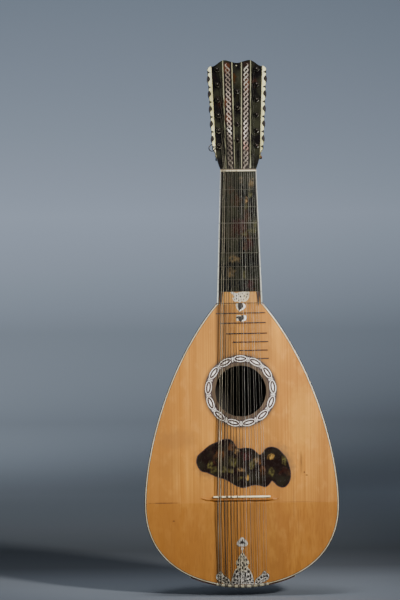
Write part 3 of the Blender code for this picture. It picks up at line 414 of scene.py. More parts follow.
class Finish:
    """A material put together from stretched patterns over one shader."""

    def __init__(self, name, color, roughness, metallic=0.0, coat=0.0, grain="Object"):
        self.made = bpy.data.materials.new(name)
        self.made.use_nodes = True
        self.tree = self.made.node_tree
        self.shader = self.tree.nodes["Principled BSDF"]
        self.set("Base Color", (*color, 1))
        self.set("Roughness", roughness)
        self.set("Metallic", metallic)
        self.set("Coat Weight", coat)
        self.coords = node(self.tree, "ShaderNodeTexCoord").outputs[grain]
        self.made.diffuse_color = (*color, 1)

    def set(self, socket, value):
        if isinstance(value, bpy.types.NodeSocket):
            self.tree.links.new(value, self.shader.inputs[socket])
        else:
            self.shader.inputs[socket].default_value = value
        return self

    def spread(self, scale, shift=(0, 0, 0)):
        return node(self.tree, "ShaderNodeMapping", {"Vector": self.coords, "Location": shift, "Scale": scale}).outputs[0]

    def noise(self, scale, shift=(0, 0, 0), detail=3.0, distortion=0.0, roughness=0.5):
        sockets = {"Vector": self.spread(scale, shift), "Scale": 1.0, "Detail": detail,
                   "Roughness": roughness, "Distortion": distortion}
        return node(self.tree, "ShaderNodeTexNoise", sockets).outputs["Fac"]

    def bands(self, scale, period, distortion=0.0, direction="X"):
        """Lines that repeat each period of millimetres along one axis."""
        sockets = {"Vector": self.spread(scale), "Scale": pi / (10 * period * MM), "Distortion": distortion,
                   "Detail": 2.0, "Detail Scale": 0.6}
        return node(self.tree, "ShaderNodeTexWave", sockets, bands_direction=direction).outputs["Fac"]

    def ramp(self, value, *stops):
        made = node(self.tree, "ShaderNodeValToRGB", {"Fac": value})
        for i, (place, color) in enumerate(stops):
            color = (color,) * 3 if isinstance(color, (int, float)) else color
            stop = made.color_ramp.elements[i] if i < 2 else made.color_ramp.elements.new(place)
            stop.position = place
            stop.color = (*color, 1)
        return made.outputs["Color"]

    def mix(self, share, a, b, blend="MIX"):
        made = node(self.tree, "ShaderNodeMix", data_type="RGBA", blend_type=blend)
        for index, value in ((0, share), (6, a), (7, b)):
            if isinstance(value, bpy.types.NodeSocket):
                self.tree.links.new(value, made.inputs[index])
            else:
                made.inputs[index].default_value = value if index == 0 else (*value, 1)
        return made.outputs[2]

    def math(self, kind, a, b=0.0, c=0.0):
        made = node(self.tree, "ShaderNodeMath", operation=kind)
        for i, value in enumerate((a, b, c)):
            if isinstance(value, bpy.types.NodeSocket):
                self.tree.links.new(value, made.inputs[i])
            else:
                made.inputs[i].default_value = value
        return made.outputs[0]

    def spot(self, x, z, half_x, half_z, rough=0.5):
        """Share of a patch at one place on the front, ragged and fading at its border."""
        place = self.spread((1 / half_x / MM, 0, 1 / half_z / MM), (-x / half_x, 0, -z / half_z))
        far = node(self.tree, "ShaderNodeVectorMath", {0: place}, operation="LENGTH").outputs["Value"]
        ragged = self.math("MULTIPLY_ADD", self.noise((150, 150, 110), (x, 0, z), 4.0), 4 * rough, far)
        return self.ramp(self.math("SUBTRACT", ragged, 2 * rough), (0.45, 1.0), (1.15, 0.0))

    def axis(self, name):
        return node(self.tree, "ShaderNodeSeparateXYZ", {"Vector": self.coords}).outputs[name]

    def bump(self, height, strength, depth):
        made = node(self.tree, "ShaderNodeBump", {"Height": height, "Strength": strength, "Distance": depth * MM})
        return self.set("Normal", made.outputs[0])


def spruce_top():
    """Varnished spruce: fine upright grain, uneven tone, soiling round the inlays, painted shade below the crease and
    over the left side, and painted string shadows with some wear under the strings.
    """
    look = Finish("varnished_spruce", (0.60, 0.25, 0.04), 0.5, coat=0.04)
    look.set("Specular IOR Level", 0.3)
    lines = look.bands((1, 1, 0.02), 1.35, 4.0)
    streaks = look.noise((85, 85, 1.6), detail=5.0)
    broad = look.noise((26, 26, 1.2), (6, 0, 2), detail=3.0)
    fine = look.noise((420, 420, 2.6), (0, 0, 5), detail=2.0)
    clouds = look.noise((11, 11, 7), (3, 0, 1), detail=4.0)
    mottle = look.noise((70, 70, 40), (5, 0, 9), detail=4.0)
    pale = look.ramp(streaks, (0.28, (0.42, 0.155, 0.014)), (0.72, (0.78, 0.350, 0.044)))
    toned = look.mix(look.ramp(clouds, (0.36, 0.0), (0.60, 0.9)), pale, (0.46, 0.180, 0.020))
    toned = look.mix(look.ramp(broad, (0.35, 0.65), (0.55, 0.0)), toned, (0.35, 0.138, 0.017))
    toned = look.mix(look.ramp(mottle, (0.52, 0.0), (0.68, 0.55)), toned, (0.68, 0.31, 0.055))
    grained = look.mix(look.ramp(lines, (0.0, 0.38), (0.45, 0.0)), toned, (0.29, 0.105, 0.008))
    grained = look.mix(look.ramp(fine, (0.32, 0.55), (0.54, 0.0)), grained, (0.27, 0.10, 0.008))
    # Painted shade: darker towards the crease and below it, where the board slopes away from the light.
    below = look.ramp(look.math("SUBTRACT", (CANT_Z + 45) * MM, look.axis("Z")), (0.0, 0.0), (0.0445, 0.20),
                      (0.0455, 0.30), (0.075, 0.42))
    base = look.mix(below, grained, (0.25, 0.096, 0.026))
    side = look.ramp(look.math("ABSOLUTE", look.axis("X")), (0.10, 0.0), (0.165, 0.30))
    base = look.mix(side, base, (0.37, 0.142, 0.024))
    # Painted shade: the left side darker, where the light from the right falls off.
    base = look.mix(look.ramp(look.math("ADD", look.axis("X"), 0.5), (0.33, 0.45), (0.56, 0.0)), base,
                    (0.36, 0.142, 0.018))
    # Darker band down the middle under the strings: wear from playing, and painted shade of the strings.
    string_wear_and_shade = look.ramp(look.math("ABSOLUTE", look.axis("X")), (0.03, 0.55), (0.08, 0.0))
    base = look.mix(look.math("MULTIPLY", string_wear_and_shade, look.ramp(streaks, (0.35, 1.0), (0.6, 0.25))), base,
                    (0.33, 0.155, 0.030))
    for x, z, half_x, half_z, share, color in (
            (-44, -494, 42, 34, 0.75, (0.13, 0.070, 0.030)), (-14, -478, 36, 34, 0.6, (0.13, 0.070, 0.030)),
            (14, -508, 40, 36, 0.75, (0.13, 0.070, 0.030)), (56, -492, 38, 34, 0.75, (0.14, 0.085, 0.040)),
            (64, -508, 30, 34, 0.7, (0.14, 0.085, 0.040)), (-110, -455, 40, 22, 0.35, (0.24, 0.11, 0.030)),
            (-120, -500, 30, 30, 0.25, (0.26, 0.11, 0.020)), (104, -420, 26, 70, 0.3, (0.72, 0.36, 0.05)),
            (20, -590, 26, 60, 0.3, (0.22, 0.09, 0.018)), (101.3, -490, 0.9, 24, 0.8, (0.08, 0.035, 0.012)),
            (101.5, -497, 4.0, 24, 0.3, (0.08, 0.035, 0.012)), (106.5, -512, 1.6, 2.4, 0.9, (0.05, 0.025, 0.012)),
            (110.5, -517, 2.6, 1.6, 0.8, (0.06, 0.03, 0.012)), (-116, -593, 2.6, 1.6, 0.7, (0.08, 0.035, 0.012)),
            (-133, -562, 30, 1.2, 0.8, (0.06, 0.028, 0.010)), (100, -562, 46, 0.9, 0.35, (0.10, 0.045, 0.014)),
            (-70, -500, 1.0, 40, 0.4, (0.16, 0.07, 0.02)), (-86, -410, 1.0, 30, 0.35, (0.16, 0.07, 0.02)),
            (88, -560, 2.0, 60, 0.3, (0.16, 0.07, 0.02)), (96, -600, 1.2, 40, 0.3, (0.16, 0.07, 0.02))):
        base = look.mix(look.math("MULTIPLY", look.spot(x, z, half_x, half_z, 0.25), share), base, color)
    place = look.spread((1 / MM, 0, 1 / MM), (0, 0, -HOLE_Z))
    from_hole = node(look.tree, "ShaderNodeVectorMath", {0: place}, operation="LENGTH").outputs["Value"]
    beyond = look.math("MULTIPLY_ADD", from_hole, 0.02, look.math("MULTIPLY", mottle, 0.05))
    ring = 0.02 * ROSETTE_RADIUS + 0.025 - 1
    base = look.mix(look.ramp(look.math("SUBTRACT", beyond, 1.0), (ring, 0.75), (ring + 0.11, 0.0)), base,
                    (0.12, 0.07, 0.035))
    # Painted shadows of the strings, cast to their left and following their fan down the board.
    fan = look.math("DIVIDE", look.axis("X"), look.math("MULTIPLY_ADD", look.axis("Z"), -0.308, 1.0))
    for line_x, half, share in ((-33.5, 5.4, 0.52), (-34.8, 1.6, 0.6), (-30.8, 1.0, 0.5), (-23.6, 2.6, 0.5),
                                (-24.6, 1.0, 0.5), (-20.5, 0.8, 0.35), (-15.4, 1.6, 0.5), (-11.4, 0.8, 0.3),
                                (-7.6, 1.5, 0.45), (-2.6, 0.8, 0.3), (2.8, 0.8, 0.22), (12.8, 0.9, 0.25), (19.0, 0.9, 0.2)):
        off = look.math("ABSOLUTE", look.math("SUBTRACT", fan, line_x * MM))
        string_shadow = look.ramp(look.math("DIVIDE", off, 10 * half * MM), (0.05, share), (0.15, 0.0))
        base = look.mix(string_shadow, base, (0.075, 0.035, 0.010))
    look.set("Base Color", base)
    look.set("Roughness", look.ramp(streaks, (0.3, 0.44), (0.7, 0.58)))
    return look.bump(look.mix(0.5, lines, streaks), 0.25, 0.05).made


def plain_spruce(name, color):
    look = Finish(name, color, 0.6)
    streaks = look.noise((160, 160, 5), detail=4.0)
    dark = tuple(0.55 * value for value in color)
    look.set("Base Color", look.ramp(streaks, (0.3, dark), (0.7, color)))
    return look.bump(streaks, 0.3, 0.1).made


def tortoiseshell(name, shift, amber, olive, size=26.0, dark=(0.004, 0.003, 0.003), spots=()):
    """Polished shell: near-black ground with amber and olive clouds, and clear patches at given places."""
    look = Finish(name, dark, 0.25, coat=0.08)
    look.set("Specular IOR Level", 0.25)
    clouds = look.noise((size, size, size * 0.8), shift, detail=4.0, distortion=0.8)
    specks = look.noise((220, 220, 180), shift, detail=3.0)
    blend = look.mix(0.16, clouds, specks)
    patches = look.ramp(blend, (0.46 - amber, dark), (0.53 - amber, (0.020, 0.006, 0.004)),
                        (0.60 - amber, (0.055, 0.020, 0.006)), (0.68 - amber, (0.13, 0.065, 0.014)))
    tint = look.noise((size * 1.4,) * 3, tuple(5 + value for value in shift), detail=2.0)
    haze = look.mix(look.ramp(tint, (0.42, 0.0), (0.68, olive)), patches, (0.030, 0.031, 0.018))
    broken = look.ramp(look.noise((200, 200, 150), tuple(2 + value for value in shift), detail=4.0), (0.40, 0.1),
                       (0.54, 1.0))
    for x, z, half_x, half_z, color in spots:
        haze = look.mix(look.math("MULTIPLY", look.spot(x, z, half_x, half_z), broken), haze, color)
    look.set("Base Color", haze)
    look.set("Roughness", look.ramp(specks, (0.3, 0.16), (0.7, 0.3)))
    return look.bump(specks, 0.05, 0.05).made


def bone(name, color, yellow):
    look = Finish(name, color, 0.35, coat=0.2)
    fine = look.noise((900, 900, 60), detail=2.0)
    broad = look.noise((40, 40, 18), (2, 1, 0), detail=3.0)
    age_and_shade = look.ramp(broad, (0.3, yellow), (0.7, color))
    look.set("Base Color", look.mix(look.ramp(fine, (0.3, 0.25), (0.6, 0.0)), age_and_shade, tuple(0.72 * c for c in yellow)))
    look.set("Roughness", look.ramp(broad, (0.3, 0.45), (0.7, 0.28)))
    return look.bump(fine, 0.15, 0.05).made


def edge_bone():
    """Greenish yellow bone of the head's edges, pale in places, with painted shade along the side next to the head and
    over the lower part.
    """
    look = Finish("yellow_bone", (0.72, 0.70, 0.36), 0.4, coat=0.15)
    broad = look.noise((55, 55, 34), (2, 1, 0), detail=3.0)
    fine = look.noise((600, 600, 300), detail=2.0)
    base = look.ramp(broad, (0.32, (0.52, 0.50, 0.23)), (0.5, (0.80, 0.78, 0.42)), (0.68, (0.94, 0.91, 0.62)))
    base = look.mix(look.ramp(fine, (0.30, 0.5), (0.48, 0.0)), base, (0.34, 0.30, 0.12))
    # Painted shade along the inner side of each strip, next to the head.
    beside = look.math("SUBTRACT", look.math("ABSOLUTE", look.axis("X")), look.math("MULTIPLY", look.axis("Z"), 0.038))
    inner = look.ramp(beside, (0.0368, 0.75), (0.0392, 0.0))
    base = look.mix(inner, base, (0.24, 0.19, 0.08))
    look.set("Base Color", base)
    return look.bump(broad, 0.1, 0.05).made


def pearl(name):
    """Mother-of-pearl with soft waves of colour, pinker round the left of the soundhole, with a painted highlight that
    makes it whiter round the right and painted shade at the lower left.
    """
    look = Finish(name, (0.7, 0.67, 0.6), 0.2, coat=0.5)
    waves = look.noise((160, 160, 120), detail=2.0, distortion=1.2)
    base = look.ramp(waves, (0.28, (0.66, 0.66, 0.60)), (0.42, (0.96, 0.93, 0.86)), (0.60, (1.0, 0.96, 0.92)),
                     (0.74, (0.90, 0.72, 0.66)))
    # Painted highlight on the right of the hole, painted shade at its lower left, and pinker and yellower patches on
    # the left.
    for x, z, half_x, half_z, share, color in (
            (57, -366, 12, 34, 0.9, (1.0, 0.99, 0.96)), (-57, -370, 14, 40, 0.45, (0.72, 0.58, 0.50)),
            (-36, -421, 16, 14, 0.7, (0.46, 0.42, 0.36)), (-30, -318, 14, 12, 0.4, (0.62, 0.58, 0.42))):
        base = look.mix(look.math("MULTIPLY", look.spot(x, z, half_x, half_z), share), base, color)
    look.set("Base Color", base)
    cloud = look.noise((60, 60, 60), (4, 4, 4))
    look.set("Roughness", look.ramp(cloud, (0.3, 0.14), (0.7, 0.36)))
    return look.bump(waves, 0.12, 0.05).made


def carved_pearl():
    """Aged pearl with dark engraved lines, greenish in places and yellow in others."""
    look = Finish("carved_pearl", (0.4, 0.38, 0.32), 0.3, coat=0.3)
    waves = look.noise((120, 120, 90), detail=3.0, distortion=1.0)
    cuts = look.noise((520, 520, 420), (3, 1, 2), detail=2.0, distortion=0.6)
    tint = look.noise((26, 26, 26), (1, 5, 2), detail=1.0)
    tones = look.ramp(waves, (0.32, (0.34, 0.35, 0.31)), (0.5, (0.62, 0.58, 0.51)), (0.68, (0.92, 0.87, 0.79)))
    age_and_shade = look.mix(look.ramp(tint, (0.4, 0.0), (0.6, 0.6)), tones, (0.60, 0.50, 0.26))
    finial = look.ramp(look.math("ADD", look.axis("Z"), 1.0), (0.355, 1.0), (0.365, 0.25))
    engraved = look.math("MULTIPLY", look.ramp(cuts, (0.40, 0.85), (0.52, 0.0)), finial)
    carved = look.mix(engraved, age_and_shade, (0.035, 0.032, 0.030))
    # Painted shadow of the strings over the left half of the tail ornament.
    shade = look.ramp(look.math("ADD", look.axis("X"), 0.5), (0.49, 0.35), (0.505, 0.0))
    low = look.ramp(look.math("MULTIPLY", look.axis("Z"), -1.0), (0.4, 0.0), (0.6, 1.0))
    look.set("Base Color", look.mix(look.math("MULTIPLY", shade, low), carved, (0.07, 0.07, 0.065)))
    return look.bump(cuts, 0.3, 0.08).made


def cable_pearl():
    """Pearl of the two bands, clean in some places and brown with age in others."""
    look = Finish("cable_pearl", (0.45, 0.42, 0.37), 0.3, coat=0.2)
    waves = look.noise((160, 160, 120), detail=2.0, distortion=1.2)
    base = look.ramp(waves, (0.32, (0.16, 0.135, 0.11)), (0.55, (0.33, 0.28, 0.24)), (0.7, (0.40, 0.31, 0.26)))
    for x, z, half_x, half_z, share, color in (
            (-14, 30, 9, 34, 0.75, (0.085, 0.068, 0.055)), (-15, 160, 9, 30, 0.65, (0.10, 0.075, 0.055)),
            (-14.5, 71, 6, 9, 0.9, (0.72, 0.68, 0.60)), (-14.5, 88, 6, 10, 0.5, (0.46, 0.32, 0.26)),
            (13, 72, 7, 20, 0.7, (0.66, 0.60, 0.54)), (13, 43, 6, 10, 0.7, (0.52, 0.28, 0.23)),
            (15, 180, 7, 8, 0.7, (0.52, 0.50, 0.42)),
            (13.5, 168, 7, 18, 0.55, (0.46, 0.46, 0.38)), (13, 8, 7, 16, 0.6, (0.22, 0.19, 0.15))):
        base = look.mix(look.math("MULTIPLY", look.spot(x, z, half_x, half_z), share), base, color)
    look.set("Base Color", base)
    return look.bump(waves, 0.12, 0.05).made


def marked_bone(name, color, yellow, marks, shade_above=None):
    """Bone with dark marks at given places, and painted shade above a level."""
    look = Finish(name, color, 0.4, coat=0.15)
    broad = look.noise((60, 60, 60), (2, 1, 0), detail=3.0)
    base = look.ramp(broad, (0.3, yellow), (0.7, color))
    for x, z, half_x, half_z, share, dark in marks:
        base = look.mix(look.math("MULTIPLY", look.spot(x, z, half_x, half_z, 0.12), share), base, dark)
    # Painted shade over the part above the given level.
    if shade_above is not None:
        above = look.math("MULTIPLY_ADD", look.axis("Z"), 100.0, 0.5)
        base = look.mix(look.ramp(above, (0.5 + shade_above * 0.1, 0.0), (0.53 + shade_above * 0.1, 0.85)), base, (0.10, 0.065, 0.03))
    look.set("Base Color", base)
    return look.bump(broad, 0.1, 0.05).made


def dark_wood(name, color, lighter, coat=0.15):
    look = Finish(name, color, 0.38, coat=coat)
    streaks = look.noise((260, 260, 8), detail=5.0)
    look.set("Base Color", look.ramp(streaks, (0.35, color), (0.75, lighter)))
    look.set("Roughness", look.ramp(streaks, (0.3, 0.3), (0.7, 0.5)))
    return look.bump(streaks, 0.2, 0.08).made


def mastic():
    look = Finish("mastic", (0.045, 0.014, 0.011), 0.55)
    grit = look.noise((700, 700, 700), detail=2.0)
    look.set("Base Color", look.ramp(grit, (0.35, (0.012, 0.006, 0.005)), (0.7, (0.060, 0.020, 0.015))))
    return look.bump(grit, 0.3, 0.06).made


def red_ground():
    look = Finish("red_ground", (0.03, 0.010, 0.006), 0.5)
    look.set("Specular IOR Level", 0.15)
    cloud = look.noise((45, 45, 45), (1, 2, 3), detail=3.0)
    ground = look.ramp(cloud, (0.3, (0.004, 0.003, 0.003)), (0.52, (0.009, 0.005, 0.004)), (0.72, (0.026, 0.009, 0.005)))
    for x, z, half_x, half_z in ((-17.5, 178, 6.5, 13), (-19.5, 120, 5, 11), (-18, 92, 6, 10), (17, 150, 5, 20)):
        ground = look.mix(look.spot(x, z, half_x, half_z), ground, (0.060, 0.017, 0.005))
    look.set("Base Color", ground)
    return look.bump(cloud, 0.1, 0.05).made


def stave_wood():
    """Bowl staves: grain runs along each stave, and each has its own tone."""
    look = Finish("bowl_rosewood", (0.17, 0.06, 0.022), 0.3, coat=0.5, grain="UV")
    tone = look.noise((0.9, 0.05, 1), detail=0.0)
    streaks = look.noise((90, 2.2, 1), detail=5.0, distortion=0.4)
    fine = look.noise((420, 9, 1), detail=2.0)
    wood = look.ramp(streaks, (0.28, (0.055, 0.017, 0.008)), (0.5, (0.15, 0.05, 0.018)), (0.74, (0.27, 0.105, 0.036)))
    toned = look.mix(look.ramp(tone, (0.3, 0.45), (0.7, 0.0)), wood, (0.075, 0.024, 0.01))
    look.set("Base Color", look.mix(look.ramp(fine, (0.32, 0.4), (0.5, 0.0)), toned, (0.03, 0.01, 0.006)))
    look.set("Roughness", look.ramp(streaks, (0.3, 0.24), (0.7, 0.4)))
    return look.bump(fine, 0.15, 0.06).made


def wire(name, color, roughness, pitch):
    """Drawn or wound wire with dull patches here and there, lighter over the body and darkened towards the head by
    painted shade.
    """
    look = Finish(name, color, roughness, metallic=1.0)
    turns = look.bands((1, 1, 1), pitch, 0.0, "Z")
    wear = look.noise((60, 60, 30), detail=3.0)
    dull = tuple(0.45 * value for value in color)
    clean = look.ramp(wear, (0.3, dull), (0.65, color))
    # Painted shade: darker towards the head, where the strings catch less light.
    age_and_shade = look.ramp(look.math("ADD", look.axis("Z"), 0.6), (0.08, 0.0), (0.20, 0.60), (0.45, 0.85))
    look.set("Base Color", look.mix(age_and_shade, clean, (0.05, 0.048, 0.036)))
    return look.bump(turns, 0.4, 0.08).made


AMBER, OLIVE, HONEY, TAN = (0.24, 0.085, 0.012), (0.085, 0.076, 0.024), (0.34, 0.20, 0.05), (0.20, 0.125, 0.055)
WINE, BROWN, SHADOW_MARK = (0.055, 0.016, 0.016), (0.080, 0.034, 0.013), (0.035, 0.026, 0.018)
SMOKE, MOSS, UMBER, PLUM = (0.095, 0.066, 0.030), (0.050, 0.048, 0.018), (0.036, 0.018, 0.010), (0.028, 0.010, 0.010)
LOOK = {
    "spruce": spruce_top(),
    "tongue": plain_spruce("tongue_spruce", (0.56, 0.25, 0.030)),
    # Painted shade: the blocks, braces and the inside of the bowl get near-black wood.
    "inner": plain_spruce("inner_spruce", (0.08, 0.05, 0.025)),
    "bowl_inside": plain_spruce("bowl_inside", (0.014, 0.010, 0.007)),
    "plate_shell": tortoiseshell("scratchplate_shell", (1.3, 0, 2.2), -0.08, 0.4, 34.0, (0.009, 0.004, 0.003), (
        (-53, -498, 6, 11, OLIVE), (-46, -507, 7, 7, OLIVE), (-29, -507, 12, 6, OLIVE), (-18, -508, 6, 5, OLIVE),
        (-0.5, -507, 7, 4.5, TAN), (9.7, -520, 3.5, 6, HONEY), (-2, -521, 5, 4, OLIVE), (18, -498, 6, 9, OLIVE),
        (25, -490, 6, 6, TAN), (31, -494, 4, 5, BROWN), (50, -485, 6, 6.5, HONEY), (51, -511, 6, 9, OLIVE),
        (73, -490, 5, 11, OLIVE), (-36, -481, 12, 12, BROWN), (-14, -493, 8, 11, OLIVE),
        (-8, -476, 4, 8, TAN), (-17, -468, 8, 8, BROWN), (8, -484, 10, 8, WINE),
        (36, -508, 7, 12, BROWN))),
    "board_shell": tortoiseshell("fingerboard_shell", (4.1, 0, 7.7), -0.12, 0.7, 24.0, (0.005, 0.005, 0.004), (
        (4.5, -14, 4, 7, SMOKE), (19.5, -36, 5, 10, MOSS), (13.5, -50, 4, 6, TAN), (12.5, -74, 6, 14, UMBER),
        (20.5, -101, 9, 4, MOSS), (10, -107, 7, 5, MOSS), (-13.5, -31, 7, 9, UMBER), (-8.5, -148, 12, 8, SMOKE),
        (-14, -171, 8, 10, SMOKE), (9.5, -128, 6, 10, UMBER), (18.5, -125, 7, 12, PLUM), (18.5, -192, 9, 8, PLUM),
        (9, -175, 4, 9, MOSS), (27, -91, 4, 18, MOSS), (22, -20, 6, 10, SMOKE), (13, -60, 3, 8, MOSS),
        (-4, -50, 12, 14, UMBER), (0, -90, 14, 14, PLUM))),
    "border_shell": tortoiseshell("border_shell", (2.1, 0, 5.7), -0.06, 0.6, 24.0, (0.040, 0.026, 0.022)),
    "head_shell": tortoiseshell("head_shell", (9.3, 0, 3.1), -0.18, 0.8, 30.0, spots=(
        (-4, 160, 4.5, 12, (0.034, 0.014, 0.003)), (1, 136, 6, 16, (0.012, 0.011, 0.004)), (30, 155, 6, 10, (0.028, 0.010, 0.006)),
        (-30, 118, 7, 12, (0.024, 0.010, 0.006)))),
    "bone": bone("bone", (0.80, 0.77, 0.64), (0.66, 0.58, 0.36)),
    "binding_bone": bone("binding_bone", (0.66, 0.60, 0.45), (0.40, 0.34, 0.20)),
    "strip_bone": bone("strip_bone", (0.56, 0.60, 0.54), (0.42, 0.45, 0.38)),
    # The dark marks on the guard, nut and saddle are painted shadows of the strings where they cross.
    "guard_bone": marked_bone("guard_bone", (0.46, 0.43, 0.30), (0.30, 0.27, 0.17), tuple(
        (10.97 * (i - 3.5), -707, 2.8, 60, 0.85, SHADOW_MARK) for i in range(8))),
    "nut_bone": marked_bone("nut_bone", (0.92, 0.86, 0.66), (0.80, 0.72, 0.46), (
        (-27.5, 0, 1.4, 60, 0.9, SHADOW_MARK), (-22, 0, 1.0, 60, 0.7, SHADOW_MARK), (-15.5, 0, 1.0, 60, 0.8, SHADOW_MARK),
        (-11.5, 0, 0.8, 60, 0.6, SHADOW_MARK), (-3.2, 0, 0.9, 60, 0.7, SHADOW_MARK), (-24, 0, 7, 60, 0.45, (0.34, 0.31, 0.17))), 1.2),
    "saddle_bone": marked_bone("saddle_bone", (0.95, 0.86, 0.60), (0.84, 0.70, 0.40), (
        (-36.6, -552, 3.6, 60, 0.95, SHADOW_MARK), (-25.2, -552, 3.2, 60, 0.95, SHADOW_MARK),
        (-18.4, -552, 2.0, 60, 0.9, SHADOW_MARK), (-7.4, -552, 1.9, 60, 0.85, SHADOW_MARK), (-3.4, -552, 1.2, 60, 0.5, SHADOW_MARK),
        (5.6, -552, 1.0, 60, 0.4, SHADOW_MARK))),
    "line_bone": bone("line_bone", (0.40, 0.38, 0.25), (0.18, 0.19, 0.10)),
    "yellow_bone": edge_bone(),
    "peg_bone": marked_bone("peg_bone", (0.085, 0.075, 0.06), (0.040, 0.032, 0.024), (
        (32.4, 174, 4, 5, 0.9, (0.40, 0.36, 0.34)), (34, 147, 4, 5, 0.8, (0.16, 0.15, 0.15)),
        (31, 40, 4, 5, 0.9, (0.46, 0.24, 0.19)), (-1.5, 133, 4, 5, 0.8, (0.13, 0.13, 0.12)))),
    "pearl": pearl("mother_of_pearl"),
    "carved_pearl": carved_pearl(),
    "cable_pearl": cable_pearl(),
    "ebony": dark_wood("ebony", (0.006, 0.004, 0.004), (0.022, 0.014, 0.010)),
    "fret_wood": dark_wood("fret_wood", (0.020, 0.009, 0.005), (0.055, 0.024, 0.010), 0.05),
    "peg_wood": tortoiseshell("peg_wood", (3.3, 0, 1.2), -0.2, 0.0, 20.0, (0.006, 0.004, 0.003), (
        (37, 24, 9, 10, (0.26, 0.09, 0.02)),)),
    "ring_wood": dark_wood("ring_wood", (0.042, 0.025, 0.012), (0.115, 0.070, 0.032), 0.0),
    "neck_veneer": dark_wood("neck_veneer", (0.040, 0.014, 0.008), (0.12, 0.042, 0.018), 0.4),
    "bridge_wood": dark_wood("bridge_wood", (0.34, 0.125, 0.018), (0.50, 0.20, 0.034), 0.1),
    "mastic": mastic(),
    "red_ground": red_ground(),
    "staves": stave_wood(),
    "brass": wire("wound_brass", (0.20, 0.18, 0.14), 0.42, 0.5),
    "pale_brass": wire("pale_brass", (0.60, 0.55, 0.42), 0.42, 0.5),
    "steel": wire("drawn_steel", (0.80, 0.79, 0.76), 0.34, 1.2),
    # Lighter and darker copies of the steel: a painted highlight and painted shade for single strings.
    "bright_steel": wire("bright_steel", (1.0, 0.98, 0.94), 0.3, 1.2),
    "dull_steel": wire("dull_steel", (0.30, 0.29, 0.27), 0.4, 1.2),
    "dull_fret": wire("dull_fret_metal", (0.12, 0.12, 0.11), 0.45, 3.0),
    "bright_fret": wire("bright_fret_metal", (0.85, 0.82, 0.74), 0.35, 3.0),
}


# Repeating forms

def rule_tree(name, inputs, position, turn=None, size=None):
    """Tree that sets the source form on points, one for each number, placed by a rule on the number."""
    tree = bpy.data.node_groups.new(name, "GeometryNodeTree")
    sockets = tree.interface
    sockets.new_socket("Geometry", in_out="INPUT", socket_type="NodeSocketGeometry")
    for label, kind in (("Count", "Int"), *((label, "Float") for label in inputs), ("Finish", "Material")):
        sockets.new_socket(label, in_out="INPUT", socket_type=f"NodeSocket{kind}")
    sockets.new_socket("Geometry", in_out="OUTPUT", socket_type="NodeSocketGeometry")
    given = tree.nodes.new("NodeGroupInput").outputs
    number = node(tree, "GeometryNodeInputIndex").outputs[0]

    def calc(kind, a, b=0.0):
        made = node(tree, "ShaderNodeMath", operation=kind)
        for i, value in enumerate((a, b)):
            value = given[value] if isinstance(value, str) else value
            if isinstance(value, bpy.types.NodeSocket):
                tree.links.new(value, made.inputs[i])
            else:
                made.inputs[i].default_value = value
        return made.outputs[0]

    def vector(values):
        return node(tree, "ShaderNodeCombineXYZ", {i: value for i, value in enumerate(values)}).outputs[0]

    spots = node(tree, "GeometryNodePoints", {"Count": given["Count"], "Position": vector(position(calc, number))})
    sockets = {"Points": spots.outputs[0], "Instance": given["Geometry"]}
    if turn:
        angle = node(tree, "FunctionNodeAxisAngleToRotation", {"Axis": (0, 1, 0), "Angle": turn(calc, number)})
        sockets["Rotation"] = angle.outputs[0]
    if size:
        sockets["Scale"] = vector(size(calc, number))
    set_out = node(tree, "GeometryNodeInstanceOnPoints", sockets)
    solid = node(tree, "GeometryNodeRealizeInstances", {"Geometry": set_out.outputs[0]})
    dressed = node(tree, "GeometryNodeSetMaterial", {"Geometry": solid.outputs[0], "Material": given["Finish"]})
    tree.links.new(dressed.outputs[0], tree.nodes.new("NodeGroupOutput").inputs[0])
    return tree


def ring_rule():
    """Forms round a circle, each turned to face outwards."""
    def angle(calc, number):
        return calc("MULTIPLY", calc("DIVIDE", number, "Count"), 2 * pi)

    def position(calc, number):
        around = angle(calc, number)
        up = calc("ADD", calc("MULTIPLY", calc("COSINE", around), "Radius"), "Height")
        return calc("MULTIPLY", calc("SINE", around), "Radius"), 0.0, up
    return rule_tree("ring_of_forms", ("Radius", "Height"), position, angle)


def row_rule():
    """Forms along a straight line."""
    def position(calc, number):
        across = calc("ADD", calc("MULTIPLY", number, "Step Across"), "Start Across")
        return across, 0.0, calc("ADD", calc("MULTIPLY", number, "Step Up"), "Start Up")
    return rule_tree("row_of_forms", ("Start Across", "Step Across", "Start Up", "Step Up"), position)


def fret_rule():
    """Bars at the fret places of a string length, each as long as the board is wide there."""
    def height(calc, number):
        power = calc("POWER", 2.0, calc("DIVIDE", calc("ADD", number, "First Fret"), -12.0))
        return calc("MULTIPLY", calc("SUBTRACT", power, 1.0), "String Length")

    def position(calc, number):
        return 0.0, 0.0, height(calc, number)

    def size(calc, number):
        return calc("ADD", calc("MULTIPLY", height(calc, number), "Taper"), "Half Width"), 1.0, 1.0
    return rule_tree("fret_bars", ("First Fret", "String Length", "Half Width", "Taper"), position, size=size)


